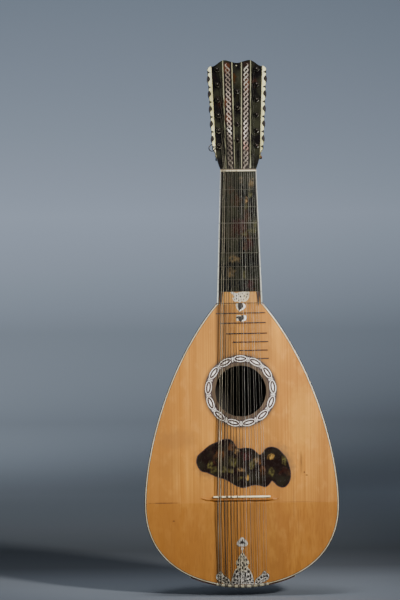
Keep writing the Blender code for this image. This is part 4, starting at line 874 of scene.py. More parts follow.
def strip_tree():
    """Round strip that follows each line of the source."""
    tree = bpy.data.node_groups.new("strip_on_path", "GeometryNodeTree")
    for label, kind in (("Geometry", "Geometry"), ("Radius", "Float"), ("Finish", "Material")):
        tree.interface.new_socket(label, in_out="INPUT", socket_type=f"NodeSocket{kind}")
    tree.interface.new_socket("Geometry", in_out="OUTPUT", socket_type="NodeSocketGeometry")
    given = tree.nodes.new("NodeGroupInput").outputs
    path = node(tree, "GeometryNodeMeshToCurve", {"Mesh": given["Geometry"]})
    section = node(tree, "GeometryNodeCurvePrimitiveCircle", {"Resolution": 6, "Radius": given["Radius"]})
    sockets = {"Curve": path.outputs[0], "Profile Curve": section.outputs[0], "Fill Caps": True}
    swept = node(tree, "GeometryNodeCurveToMesh", sockets)
    solid = node(tree, "GeometryNodeRealizeInstances", {"Geometry": swept.outputs[0]})
    dressed = node(tree, "GeometryNodeSetMaterial", {"Geometry": solid.outputs[0], "Material": given["Finish"]})
    tree.links.new(dressed.outputs[0], tree.nodes.new("NodeGroupOutput").inputs[0])
    return tree


def grown(obj, tree, place=None, **sizes):
    """The source form repeated by a tree, as a plain mesh put in place."""
    modifier = obj.modifiers.new(tree.name, "NODES")
    modifier.node_group = tree
    for item in tree.interface.items_tree:
        label = item.name.replace(" ", "_").lower()
        if item.in_out == "INPUT" and label in sizes:
            modifier[item.identifier] = sizes[label]
    obj.update_tag()
    baked(obj)
    if place:
        for vert in obj.data.vertices:
            vert.co = place(*(vert.co / MM))
    return obj


RING, ROW, FRETS, STRIP = ring_rule(), row_rule(), fret_rule(), strip_tree()


def plain(x, y, z):
    return Vector((x, y, z)) * MM


def paths(name, lines):
    """Wire mesh of open lines, the source of a strip."""
    bm = bmesh.new()
    for line in lines:
        verts = [bm.verts.new(point) for point in line]
        for a, b in zip(verts, verts[1:]):
            bm.edges.new((a, b))
    mesh = bpy.data.meshes.new(name)
    bm.to_mesh(mesh)
    bm.free()
    obj = bpy.data.objects.new(name, mesh)
    bpy.context.scene.collection.objects.link(obj)
    return obj


# Bowl

def grained(obj, rows):
    """UV map with the first number across the stave and the second along it."""
    layer = obj.data.uv_layers.new(name="grain")
    for polygon in obj.data.polygons:
        for loop in polygon.loop_indices:
            vert = obj.data.loops[loop].vertex_index
            layer.data[loop].uv = rows[vert]


def make_staves():
    steps = 64
    per_group = STAVES // STAVE_GROUPS
    for group in range(STAVE_GROUPS):
        verts, faces, marks, inside = [], [], [], []
        for k in range(per_group):
            stave = group * per_group + k
            first = len(verts)
            for i in range(steps + 1):
                t = STAVE_START + (2 - STAVE_START) * i / steps
                low, high = (pi * (stave + share) / STAVES for share in (0, 1))
                for out in (0, -STAVE_THICKNESS):
                    a, b = bowl_point(t, low, out), bowl_point(t, high, out)
                    for share in (0, 1):
                        verts.append(a.lerp(b, share) * MM)
                        marks.append((stave * 0.37 + share * (b - a).length * MM, a.z * MM))
            for i in range(steps):
                a, b = first + 4 * i, first + 4 * (i + 1)
                inside.append(len(faces) + 1)
                faces += [(a, a + 1, b + 1, b), (a + 2, b + 2, b + 3, a + 3),
                          (a, b, b + 2, a + 2), (a + 1, a + 3, b + 3, b + 1)]
            a = first + 4 * steps
            faces += [(first, first + 2, first + 3, first + 1), (a, a + 1, a + 3, a + 2)]
        mesh = bpy.data.meshes.new(f"staves_{group + 1}")
        mesh.from_pydata(verts, [], faces)
        mesh.materials.append(LOOK["staves"])
        mesh.materials.append(LOOK["bowl_inside"])
        # The inner faces take the near-black finish, as painted shade.
        for face in inside:
            mesh.polygons[face].material_index = 1
        obj = bpy.data.objects.new(mesh.name, mesh)
        bpy.context.scene.collection.objects.link(obj)
        grained(obj, marks)
        bm = bmesh.new()
        bm.from_mesh(mesh)
        bmesh.ops.recalc_face_normals(bm, faces=bm.faces)
        bm.to_mesh(mesh)
        bm.free()
        mesh.shade_smooth()
        mesh.set_sharp_from_angle(angle=radians(3.5))
        settle(obj, "bowl_wood", f"bowl_ribs_{group + 1}")


def make_stave_lines():
    """Light lines let in between the staves."""
    steps = 70
    lines = []
    for i in range(1, STAVES):
        phi = pi * i / STAVES
        places = [STAVE_START + (1.998 - STAVE_START) * k / steps for k in range(steps + 1)]
        lines.append([bowl_point(t, phi, -0.25) * MM for t in places])
    obj = grown(paths("stave_lines", lines), STRIP, radius=0.42 * MM, finish=LOOK["bone"])
    obj.data.shade_smooth()
    settle(obj, "bone")


def make_tail_cap():
    """Strip of wood over the ends of the staves."""
    bm = bmesh.new()
    count, steps = 72, 16
    angles = [pi * i / count for i in range(count + 1)]
    grids = []
    for out in (CAP_OUT, GAP / 2):
        rows = []
        for k in range(steps + 1):
            rows.append([bm.verts.new(bowl_point(CLASP_REACH * k / steps, phi, out) * MM)
                         for i, phi in enumerate(angles)])
        grids.append(rows)
    outer, inner = grids
    for k in range(steps):
        for i in range(count):
            bm.faces.new((outer[k][i], outer[k][i + 1], outer[k + 1][i + 1], outer[k + 1][i]))
            bm.faces.new((inner[k][i], inner[k + 1][i], inner[k + 1][i + 1], inner[k][i + 1]))
        for i in (0, count):
            bm.faces.new((outer[k][i], outer[k + 1][i], inner[k + 1][i], inner[k][i]))
    for i in range(count):
        for k in (0, steps):
            bm.faces.new((outer[k][i], outer[k][i + 1], inner[k][i + 1], inner[k][i]))
    cap = shape("tail_clasp", bm, LOOK["neck_veneer"], 30)
    settle(cap, "bowl_wood", "tail_cap")
    edge = [bowl_point(CLASP_REACH, phi, CAP_OUT - 0.5) * MM for i, phi in enumerate(angles)]
    line = grown(paths("tail_clasp_line", [edge]), STRIP, radius=0.6 * MM, finish=LOOK["bone"])
    line.data.shade_smooth()
    settle(line, "bone")


def course_x(course, partner, spread, pair):
    pitch = (spread - pair) / 7
    return (course - 3.5) * pitch + (partner - 0.5) * pair


def turned(name, profile, surface, place, count=24, smooth=35, squash=None):
    """Turned form: rings of radius at a place along its axis, each put in place."""
    rings = []
    for row in profile:
        y, wide, thick = row if len(row) == 3 else (*row, row[1])
        ring = []
        for i in range(count):
            angle = 2 * pi * i / count
            ring.append(place(Vector((wide * cos(angle), y, thick * sin(angle)))))
        rings.append(ring)
    return loft(name, rings, surface, smooth)


def make_hitch_pins():
    bm = bmesh.new()
    y = rim_y(TAIL_Z) + RIM_DROP + PIN_SETBACK
    for course in range(8):
        x = course_x(course, 0.5, 81, 4.2)

        def meets(t, x=x):
            width, depth, _z = body_curve(t)
            return -hypot(x / width, PIN_SETBACK / depth)
        z = body_curve(found(meets, -1, 0.001, 1))[2]
        for top, radius, end_radius, length in ((z - GAP, 1.6, 1.55, 8.2), (z - CAP_OUT - 5.2, 1.6, 2.5, 0.9),
                                                (z - CAP_OUT - 6.1, 2.5, 1.6, 1.2)):
            rings = []
            for level, size in ((top, radius), (top - length, end_radius)):
                rings.append([Vector((x + size * cos(2 * pi * i / 20), y + size * sin(2 * pi * i / 20), level)) * MM
                              for i in range(20)])
            skin(bm, rings)
    pins = shape("hitch_pins", bm, LOOK["bone"], 40)
    settle(pins, "bone")


# Soundboard and its edge

def make_soundboard():
    inset = BINDING_WIDTH + EDGE_LINE
    board = plates("spruce_top", [mirrored(edge_path(-inset))], 0, BOARD_THICKNESS, LOOK["spruce"], plain)
    over = BOARD_THICKNESS
    helpers = [
        plates("hole_cut", [ellipse(0, HOLE_Z, HOLE_RADIUS, HOLE_RADIUS, 96)], -over, 3 * over, LOOK["tongue"]),
        plates("ring_cut", [ellipse(0, HOLE_Z, ROSETTE_RADIUS, ROSETTE_RADIUS, 128)], -over, over + 1.5,
               LOOK["tongue"]),
        plates("plate_cut", [plate_outline(0.15)], -over, over + 1, LOOK["tongue"]),
    ]
    cut(board, *helpers)
    bm = bmesh.new()
    bm.from_mesh(board.data)
    geometry = bm.verts[:] + bm.edges[:] + bm.faces[:]
    bmesh.ops.bisect_plane(bm, geom=geometry, dist=1e-7, plane_co=(0, 0, CANT_Z * MM), plane_no=(0, 0, 1))
    for vert in bm.verts:
        vert.co.y += rim_y(vert.co.z / MM) * MM
    bm.to_mesh(board.data)
    bm.free()
    board.data.materials.clear()
    board.data.materials.append(LOOK["spruce"])
    settle(board, "spruce", "soundboard")


def edge_strip(name, near, far, front, depth, surface, rounded_out=False):
    """Strip that follows the outline between two distances from it."""
    outer, inner = mirrored(edge_path(-near)), mirrored(edge_path(-far))
    count = min(len(outer), len(inner))
    outer, inner = outer[:count // 2 + 1] + outer[-(count // 2):], inner[:count // 2 + 1] + inner[-(count // 2):]
    middle = len(outer) // 2
    order = list(range(middle + 1, len(outer))) + list(range(middle + 1))
    rows = [(0, front)]
    if rounded_out:
        rows = [(0, 1.9), (0.06, 1.1), (0.2, 0.5), (0.38, 0.14), (0.55, 0)]
    rows += [(1, front), (1, front + depth), (0, front + depth)]
    # With a rounded outside, the first three faces of each section take the second finish, the dark shell, as painted
    # shade.
    painted_shade_faces = 3 if rounded_out else 0
    rings = []
    for i in order:
        (xo, zo), (xi, zi) = outer[i], inner[i]
        ring = []
        for share, y in rows:
            x, z = xo + (xi - xo) * share, zo + (zi - zo) * share
            ring.append(plain(x, y + rim_y(z), z))
        rings.append(ring)
    strip = loft(name, rings, surface, 40)
    for face in strip.data.polygons[:len(rows) * (len(rings) - 1)]:
        face.material_index = int(face.index % len(rows) < painted_shade_faces)
    return strip


def make_edges():
    # The rounded outer part of the binding gets the dark shell finish as painted shade.
    binding = edge_strip("bone_binding", 0, BINDING_WIDTH, 0, BOARD_THICKNESS,
                         (LOOK["binding_bone"], LOOK["border_shell"]), True)
    settle(binding, "bone", "edge_binding")
    line = edge_strip("edge_line", BINDING_WIDTH, BINDING_WIDTH + EDGE_LINE, -0.02, 1.4, LOOK["fret_wood"])
    settle(line, "dark_wood")


def make_board_frets():
    """Six bars of dark wood glued to the soundboard, stopped short of the rosette."""
    bars = []
    slope = tan(radians(0.5))
    for number, left, right, lift in ((10, -41, 43, 1.4), (11, -34.5, 44, 2.0), (12, -24, 46, 0.5), (13, -13, 48, 1.5),
                                      (14, -1.5, 47, 1.8), (15, 29, 48.5, 1.5)):
        z = fret_z(number) + lift
        bars.append([(x, z + x * slope + rise) for x, rise in ((left, -1.1), (right, -1.1), (right, 1.1),
                                                               (left, 1.1))])
    obj = plates("board_frets", bars, -1.0, 1.1, LOOK["fret_wood"])
    settle(rounded(obj, 0.3), "dark_wood")


# Rosette

def medallion_forms():
    """Pearl ring with a pointed oval in it, and a knot of four petals beside it."""
    ring = (ellipse(0, 0, 11.7, 5.5, 44), [ellipse(0, 0, 10.5, 4.35, 40)])
    leaf = smooth_loop([(-7.6, 0), (-7.6, 0), (-3.5, 1.15), (0, 1.5), (3.5, 1.15), (7.6, 0), (7.6, 0), (3.5, -1.15),
                        (0, -1.5), (-3.5, -1.15)], 4)
    turn = pi / MEDALLIONS
    middle = 55.0
    knot = [moved(ellipse(0, 0, 1.9, 0.5, 12), x, z, lean) for x, z, lean in (
        (-0.7, 2.3, 1.95), (0.7, 2.3, 1.2), (-0.7, -2.3, 1.2), (0.7, -2.3, 1.95))]
    knot.append(ellipse(0, 0, 0.9, 0.5, 10))
    placed = [moved(form, middle * sin(turn), middle * cos(turn) - middle, -turn) for form in knot]
    return [ring, leaf] + placed


def make_rosette():
    ground = plates("rosette_ground", [(ellipse(0, HOLE_Z, ROSETTE_RADIUS - 0.1, ROSETTE_RADIUS - 0.1, 128),
                                        [ellipse(0, HOLE_Z, HOLE_RADIUS, HOLE_RADIUS, 96)])],
                    -0.05, 1.3, LOOK["mastic"])
    settle(ground, "pearl", "rosette")
    inner = plates("rosette_inner_ring", [(ellipse(0, HOLE_Z, 48.4, 48.4, 96),
                                           [ellipse(0, HOLE_Z, HOLE_RADIUS - 0.3, HOLE_RADIUS - 0.3, 96)])],
                   -0.3, 2.2, LOOK["ring_wood"])
    settle(inner, "dark_wood")
    edge = plates("rosette_edge_ring", [(ellipse(0, HOLE_Z, ROSETTE_RADIUS + 0.2, ROSETTE_RADIUS + 0.2, 128),
                                         [ellipse(0, HOLE_Z, ROSETTE_RADIUS - 0.8, ROSETTE_RADIUS - 0.8, 128)])],
                  -0.12, 0.6, LOOK["ring_wood"])
    settle(edge, "dark_wood")
    form = plates("rosette_medallions", medallion_forms(), -0.4, 0.6, LOOK["pearl"], plain)
    ring = grown(form, RING, count=MEDALLIONS, radius=55 * MM, height=HOLE_Z * MM, finish=LOOK["pearl"])
    settle(ring, "pearl")


# Scratchplate

PLATE_CURVE = (
    (-75, 12), (-72, 17), (-66, 22), (-58, 29), (-50, 34), (-40, 37.5), (-33, 41), (-23, 42.5), (-15, 39),
    (-10, 31), (-4, 26), (8, 27), (18, 25.5), (25, 20), (31, 15), (36, 18), (41, 25), (48, 28), (56, 27.5),
    (64, 23.5), (71, 16), (77, 8), (81, -4), (83.5, -16), (82.5, -28), (77, -37.5), (69.5, -41),
    (61, -38), (55, -32), (51, -30), (46.5, -36), (40, -40), (31, -37.5), (21, -36.5), (11, -39), (2, -41),
    (-8, -38), (-18, -32), (-30, -25.5), (-42, -22), (-51, -18), (-59, -14.5), (-67, -12.5), (-73, -6.5),
    (-76.5, 3),
)


def plate_outline(out=0.0):
    middle = (HOLE_Z - ROSETTE_RADIUS + BRIDGE_Z) / 2 - 3.2
    return wider(moved(smooth_loop(PLATE_CURVE, 5), z=middle), out)


def make_scratchplate():
    obj = plates("shell_scratchplate", [plate_outline()], -0.2, 0.9, LOOK["plate_shell"])
    settle(obj, "tortoiseshell", "scratchplate")
    rim = plates("scratchplate_rim", [(plate_outline(0.5), [plate_outline(-0.7)])], -0.3, 0.5, LOOK["mastic"])
    settle(rim, "dark_wood")


# Tail: fretted pearl ornament and the guard over the edge

ORNAMENT_TOP = 82.3
TOWER_RIGHT = (
    (19.2, 0), (19.6, 2.6), (19.2, 7.7), (17.7, 11.9), (16.2, 17.9), (14.1, 23), (11.7, 27.2), (9.0, 29.8), (9.0, 29.8),
    (9.4, 33.3), (11.6, 37.4), (11.6, 37.4), (10, 41.7), (7.3, 45.6), (5.8, 49.3), (2.6, 53.2), (1.0, 57.0), (0.8, 59.0),
    (1.9, 61.2), (1.9, 63.4), (0.8, 65.0), (0.9, 66.4), (0.9, 66.4), (5.4, 66.3), (8.3, 67.8), (9.4, 70.8), (8.8, 73.8),
    (5.6, 77.4), (2.6, 80.6),
)
SCROLL_RIGHT = (
    (20.9, 3.4), (23.1, 10.2), (26.5, 12.8), (29.9, 15.6), (32.5, 17.3), (35, 22.1), (37.6, 23.8), (39.5, 21.8),
    (38.6, 18.7), (41.8, 19.8), (44.6, 17), (44.9, 12.8), (42, 8.5), (35.9, 5.0), (29, 1.6), (22, -0.4),
)
FINIAL_HOLE = (
    (-5.4, 71.0), (5.4, 71.0), (5.4, 72.9), (2.6, 73.0), (2.4, 75.4), (1.2, 75.6), (0.8, 79.0), (-0.8, 79.0),
    (-1.2, 75.6), (-2.4, 75.4), (-2.6, 73.0), (-5.4, 72.9),
)
TOWER_CENTRE_HOLES = (
    (0, 53.4, 0.7, 1.7), (0, 38.4, 0.8, 1.9), (0, 29.4, 0.8, 2.2), (0, 22.6, 0.8, 1.3), (0, 13.0, 0.9, 1.2),
    (0, 4.0, 0.8, 1.3),
)
TOWER_SIDE_HOLES = (
    (2.5, 49.0, 0.9, 1.8, -0.25), (6.8, 43.2, 1.4, 2.1, 0.5), (2.9, 43.0, 1.0, 1.5, 0.0), (3.0, 33.8, 1.1, 2.5, 0.1),
    (7.3, 35.0, 1.3, 1.8, 0.4), (4.6, 27.2, 1.6, 1.4, 0.0), (10.2, 23.0, 1.7, 2.4, 0.3), (13.6, 16.2, 1.2, 2.7, 0.25),
    (4.3, 17.6, 1.2, 4.2, 0.0), (8.9, 14.6, 1.6, 2.2, 0.0), (12.6, 8.8, 2.0, 1.4, -0.2), (8.2, 7.4, 1.5, 1.4, 0.0),
    (4.1, 6.6, 1.1, 2.6, 0.0), (15.6, 4.2, 2.1, 1.2, 0.0), (9.6, 3.4, 1.9, 0.9, 0.0),
)
SCROLL_HOLES = (
    (41.2, 15.0, 1.6, 2.1, 0.2), (36.6, 14.6, 1.4, 1.7, 0.0), (32.0, 12.4, 1.7, 1.5, 0.3), (27.0, 9.2, 1.6, 1.7, 0.4),
    (36.4, 20.0, 0.9, 1.4, 0.2), (33.2, 8.0, 1.8, 0.9, 0.5), (38.4, 10.4, 1.5, 1.0, 0.5), (24.0, 4.6, 1.4, 1.8, 0.2),
    (28.6, 4.6, 1.5, 0.9, 0.4),
)


def make_tail_ornament():
    base = TAIL_Z + 3.4

    def raised(points, side=1):
        return [(side * x, base + max(z, tail_rise(x) + 0.2)) for x, z in points]

    def pierced(places, side=1):
        return [raised(ellipse(x, z, 1.22 * wide, 1.22 * high, 10, *turn), side) for x, z, wide, high, *turn in places]
    tower = smooth_loop(list(TOWER_RIGHT) + [(0, ORNAMENT_TOP)], 3, closed=False)
    outline = raised(tower) + raised(tower[:-1], -1)[::-1]
    holes = [raised(FINIAL_HOLE)] + pierced(TOWER_CENTRE_HOLES)
    forms = []
    for side in (1, -1):
        holes += pierced(TOWER_SIDE_HOLES, side)
        forms.append((raised(smooth_loop(SCROLL_RIGHT, 4), side), pierced(SCROLL_HOLES, side)))
    settle(plates("pearl_tower", [(outline, holes)] + forms, -0.85, 0.85, LOOK["carved_pearl"]), "pearl",
           "tail_ornament")
    beds = [outline] + [wider(form[0], 0.6) for form in forms]
    settle(plates("tower_bed", beds, -0.15, 0.12, LOOK["ebony"]), "dark_wood")


def make_tail_guard():
    section = [(-1.4, GAP * 0.1), (-1.35, 0.5), (-1.15, 0.68), (-0.8, 0.82), (-0.5, 0.88), (-0.1, 0.84),
               (0.15, 0.7), (0.38, 0.5), (0.5, 0.25), (0.5, GAP * 0.1)]
    rings = []
    for i in range(61):
        t = 0.2 * (2 * i / 60 - 1)
        side = 1 if t >= 0 else -1
        ring = []
        for out, high in section:
            x, z = edge_point(abs(t), out * GUARD_WIDTH)
            ring.append(plain(side * x if t else 0.0, rim_y(z) - high * NUT_HEIGHT, z))
        rings.append(ring)
    settle(loft("bone_guard", rings, LOOK["guard_bone"], 40), "bone", "tail_guard")


# Bridge and saddle

def make_bridge():
    body, whole = 50, 66.5
    center = BRIDGE_Z - 2.65
    rows = [(x, 9, 7, 0) for x in (0, 20, 40)]
    rows += [(46, 8.8, 6.9, 0), (49, 7.6, 6, 0.2)]
    for i in range(1, 13):
        share = i / 12
        size = (1 - share) ** 2
        rows.append((50 + 16.5 * share, 1.7 + 4.6 * size, 1.8 + 3.4 * size, 2.8 * sin(pi * min(share * 1.1, 1)) * 0.8))
    rows = [(-x - 2.2 * max(x - 50, 0) / 16.5, w, h, drop) for x, w, h, drop in reversed(rows[1:])] + [
        (x - 3.5 * max(x - 50, 0) / 16.5, w, h, drop) for x, w, h, drop in rows]
    rings = []
    for x, wide, high, drop in rows:
        low, top = center - drop - wide / 2, center - drop + wide / 2
        ring = [(low, 0.05), (low, 0.5), (low + wide * 0.05, 0.72), (low + wide * 0.14, 0.9), (low + wide * 0.25, 1),
                (top - wide * 0.06, 1), (top, 0.94), (top, 0.05)]
        rings.append([plain(x, -high * share, z) for z, share in ring])
    settle(loft("carved_bridge", rings, LOOK["bridge_wood"], 35), "dark_wood", "bridge")


def make_saddle():
    half = 48.5
    rings = []
    for x, high in ((-half, 3.0), (-half + 0.5, 3.8), (-half + 1.2, 4.2), (half - 1.2, 4.2), (half - 0.5, 3.8),
                    (half, 3.0)):
        profile = [(-1.4, 0.0), (-1.4, 0.86), (-1.1, 0.97), (-0.7, 1.0), (0.7, 1.0), (1.1, 0.97), (1.4, 0.86),
                   (1.4, 0.0)]
        rings.append([plain(x, -7.3 - high * share, BRIDGE_Z + z) for z, share in profile])
    settle(loft("bone_saddle", rings, LOOK["saddle_bone"], 35), "bone", "saddle")


# Neck, fingerboard, nut

def backed(half, depth, power, place, count=32):
    """Flat front and rounded back: power 2 is a half round, a high power is nearly square."""
    across = [-cos(pi * i / count) for i in range(count + 1)]
    points = [place(half * x, 0.0) for x in across]
    for x in reversed(across[1:-1]):
        points.append(place(half * x, depth * (1 - abs(x) ** power) ** (1 / power)))
    return points


def neck_depth(z):
    """Depth of the neck behind its face, growing into the heel."""
    along = z - JOINT_Z - GAP
    base = NECK_BASE_DEPTH + (NECK_TOP_DEPTH - NECK_BASE_DEPTH) * along / -JOINT_Z
    share = max(0.0, 1 - along / HEEL_LENGTH)
    return base + (RIM_DROP + HEEL_DEPTH - NECK_FACE - base) * share ** 2


def make_neck():
    rings = []
    start = JOINT_Z + GAP
    levels = [start + HEEL_LENGTH * i / 24 for i in range(25)] + [start + HEEL_LENGTH + 36 * i for i in range(1, 4)]
    for z in levels:
        rings.append(backed(board_half(z), neck_depth(z), 2, lambda x, y, z=z: plain(x, NECK_FACE + y, z)))
    top = NUT_THICKNESS + GAP - GAP / cos(HEAD_TILT)
    rings.append(backed(NUT_HALF, NECK_TOP_DEPTH, 2, lambda x, y: plain(
        x, NECK_FACE + y, top - (NECK_FACE + y - HEAD_FACE_DROP) * tan(HEAD_TILT))))
    settle(loft("veneered_neck", rings, LOOK["neck_veneer"], 50), "neck_wood", "neck")
    lines = []
    for share in (-0.55, -0.2, 0.2, 0.55):
        line = []
        for z in [start + 0.5 + (-start - 8) * i / 60 for i in range(61)]:
            half, deep = board_half(z), neck_depth(z)
            line.append(plain(half * share, NECK_FACE + deep * sqrt(1 - share ** 2) - 0.25, z))
        lines.append(line)
    obj = grown(paths("neck_lines", lines), STRIP, radius=0.45 * MM, finish=LOOK["bone"])
    obj.data.shade_smooth()
    settle(obj, "bone")


def tapered(inner, outer, low, high):
    """Long four-sided form along the edge of the fingerboard, each side set in by (at the nut, at the body)."""
    def inset(pair, z):
        return board_half(z) - pair[0] - (pair[1] - pair[0]) * z / JOINT_Z
    return [(inset(inner, low), low), (inset(outer, low), low), (inset(outer, high), high), (inset(inner, high), high)]


def make_fingerboard():
    end = fret_z(8)
    half = 2.7
    shell = plates("shell_fingerboard", [[(x, z) for x, z in (
        (board_half(end) - half, end), (board_half(0) - half, -GAP),
        (half - board_half(0), -GAP), (half - board_half(end), end))]], 0, PLATE, LOOK["board_shell"], plain)
    settle(shell, "tortoiseshell", "fingerboard")
    tongue = plates("spruce_tongue", [[(x, z) for x, z in (
        (board_half(BOARD_TOP) - half, BOARD_TOP), (board_half(end) - half, end),
        (half - board_half(end), end), (half - board_half(BOARD_TOP), BOARD_TOP))]], 0.05, PLATE - 0.05,
        LOOK["tongue"], plain)
    settle(tongue, "spruce")
    strips, lines = [], []
    for flip in (1, -1):
        strips.append(moved(tapered((0, 0), (0.6, 1.8), BOARD_TOP, -GAP), flip=flip))
        lines.append(moved(tapered((0.6, 1.8), (2.75, 3.3), BOARD_TOP, -GAP), flip=flip))
    settle(plates("bone_strips", strips, -0.05, PLATE, LOOK["strip_bone"], plain), "bone")
    settle(plates("strip_lines", lines, -0.08, 1.0, LOOK["ebony"], plain), "dark_wood")
    borders = []
    for flip in (1, -1):
        low = fret_z(9) - 7
        borders.append(moved([(board_half(end) - 2.9, end), (board_half(end) - 9.6, end),
                              (board_half(low) - 9.0, low + 10), (board_half(low) - 7.4, low),
                              (board_half(low) - 4.6, low + 10)], flip=flip))
    settle(plates("pointed_borders", borders, -0.12, 0.5, LOOK["border_shell"], plain), "tortoiseshell")


def fret_form(wide, high, reach):
    """Bar of one unit half width, rounded on top."""
    rings = []
    for x in (-1, 1):
        profile = [(-wide / 2, 0.1), (-wide / 2, -high * 0.4), (-wide * 0.3, -high * 0.85), (0, -high),
                   (wide * 0.3, -high * 0.85), (wide / 2, -high * 0.4), (wide / 2, 0.1)]
        rings.append([Vector((x * reach, y * MM, z * MM)) for z, y in profile])
    return rings


def make_frets():
    taper = (JOINT_HALF - NUT_HALF) / JOINT_Z
    for first, count, look in ((1, 2, "dull_fret"), (3, 1, "bright_fret"), (4, 5, "dull_fret")):
        metal = loft(f"neck_frets_{first}", fret_form(1.0, 1.0, 1.0), LOOK[look], 60)
        grown(metal, FRETS, count=count, first_fret=float(first), string_length=STRING_LENGTH * MM,
              half_width=(NUT_HALF - 2.4) * MM, taper=taper, finish=LOOK[look])
        settle(metal, "bone")
    ends = loft("fret_slots", fret_form(0.7, 0.12, 1.0), LOOK["ebony"], 60)
    grown(ends, FRETS, count=8, first_fret=1.0, string_length=STRING_LENGTH * MM,
          half_width=(NUT_HALF + 0.02) * MM, taper=taper, finish=LOOK["ebony"])
    settle(ends, "dark_wood")
    last = plates("joint_fret", [[(x, fret_z(9) + rise) for x, rise in (
        (-JOINT_HALF - 1, -0.8), (JOINT_HALF + 1, -0.8), (JOINT_HALF + 1, 0.8), (-JOINT_HALF - 1, 0.8))]],
        -1.0, 1.1, LOOK["fret_wood"], plain)
    settle(rounded(last, 0.3), "dark_wood")


def make_nut():
    behind = NUT_THICKNESS + GAP - (PLATE - HEAD_FACE_DROP) * tan(HEAD_TILT) - GAP / cos(HEAD_TILT)
    rings = []
    for x in (-NUT_HALF, NUT_HALF):
        profile = [(0, PLATE), (0, -1.6), (0.2, -2.1), (0.7, -2.4), (2.8, -2.4), (3.3, -2.1), (3.5, -1.6),
                   (3.5, HEAD_FACE_DROP - GAP), (behind, PLATE)]
        rings.append([plain(x, y, z) for z, y in profile])
    settle(rounded(loft("bone_nut", rings, LOOK["nut_bone"], 35), 0.25), "bone", "nut")


def make_neck_pearl():
    """Pierced palmette on the tongue and two small forms below it, each on a dark bed."""
    def place(points, level):
        return moved(smooth_loop(points, 4), 0, level)
    top, middle, low = fret_z(8), fret_z(9), fret_z(10)
    palmette = place([
        (-15.6, -1.2), (-11, -0.7), (-5.9, -2.5), (0.9, -0.7), (7.6, -0.3), (12.7, 0.3), (16.6, -0.7), (16.6, -6.3),
        (15.4, -11.4), (11.9, -15.6), (7.6, -17.6), (3.4, -16.5), (0, -18.7), (-3.4, -16.5), (-7.6, -17.3), (-11.5, -13.1),
        (-11.9, -10.2), (-8.8, -9.7), (-10.7, -5.9), (-13.1, -3.4)], top)
    holes = [moved(ellipse(x, z, wide, high, 10, turn), 0, top) for x, z, wide, high, turn in (
        (-5.4, -7.1, 1.3, 1.5, 0), (-5.4, -12.2, 1.3, 1.7, 0), (1.4, -8.5, 1.3, 1.8, 0), (13.4, -4.6, 1.7, 1.1, 0.3),
        (11.6, -9.8, 0.9, 2.7, -0.5), (6.8, -13.4, 1.2, 1.0, 0), (-1.6, -14.8, 1.2, 0.9, 0), (5.2, -3.9, 1.1, 0.9, 0),
        (-1.6, -4.5, 1.0, 0.8, 0), (8.0, -7.4, 0.8, 1.9, -0.3), (2.6, -13.2, 0.8, 1.0, 0), (-8.6, -13.6, 0.8, 1.1, 0.5))]
    medallion = place([(-6.6, -2.0), (-2.7, 0), (4.1, 0.2), (8.8, -2.0), (9.7, -5.9), (8.0, -9.3), (4.1, -11.8),
                       (-0.7, -14.4), (-3.6, -11.3), (-6.1, -7.1)], middle)
    shield = place([(-5.9, -3.1), (-3.1, -2.0), (2.0, -2.5), (7.1, -1.7), (10.5, -3.6), (10.9, -7.3), (9.3, -11.0),
                    (3.7, -12.6), (1.2, -13.8), (-1.4, -11.9), (-5.6, -11.2), (-6.8, -7.3)], low)
    # Painted light and shade: the right half of each small form is lit pearl, and its left half goes with the palmette
    # in the carved pearl as painted shade.
    lit_halves = [
        place([(4.0, 0.0), (8.6, -1.9), (9.7, -5.9), (8.0, -9.3), (4.1, -11.8), (-0.7, -14.4), (0.4, -12.0), (3.6, -9.6),
               (5.6, -7.2), (6.3, -5.0), (5.8, -2.6)], middle),
        place([(7.0, -1.8), (10.4, -3.6), (10.9, -7.3), (9.3, -11.0), (3.7, -12.5), (4.4, -10.6), (6.8, -9.4),
               (7.6, -7.2), (7.2, -4.4)], low)]
    palmette_and_shaded_halves = [
        (palmette, holes),
        place([(-3.0, -0.2), (-6.5, -2.0), (-6.0, -7.1), (-3.6, -11.2), (-1.6, -13.2), (-1.8, -10.8), (-3.4, -8.0),
               (-3.8, -4.4)], middle),
        place([(-5.8, -3.0), (-3.1, -2.1), (2.0, -2.5), (2.0, -3.9), (-3.0, -3.7), (-5.6, -4.6)], low),
        place([(-5.6, -11.0), (-6.6, -8.0), (-4.2, -7.8), (-2.0, -9.6), (-1.6, -11.6)], low)]
    settle(plates("neck_beds", [palmette, medallion, shield], -0.1, 0.1, LOOK["ebony"]), "dark_wood")
    settle(plates("neck_palmette", palmette_and_shaded_halves, -0.3, 0.3, LOOK["carved_pearl"]), "pearl")
    settle(plates("neck_pearl", lit_halves, -0.32, 0.3, LOOK["pearl"]), "pearl")


# Head

def head_rings(front, back, count=48):
    rings = []
    steps = [(0, 0), (0.18, 0.1), (0.35, 0.3), (0.55, 0.52), (0.78, 0.72), (1, 0.85), (1.25, 0.95), (1.5, 1)]
    levels = [(share * HEAD_ROOT, blend) for share, blend in steps] + [(HEAD_LENGTH, 1)]
    for s, blend in levels:
        depth = HEAD_ROOT_DEPTH + (HEAD_THICKNESS - HEAD_ROOT_DEPTH) * blend
        last = s == HEAD_LENGTH
        rings.append(backed(head_half(s), depth, 2 + 8 * blend,
                            lambda x, y, s=s, last=last: on_head(x, y, s + (crest(x) if last else 0)), count))
    return rings


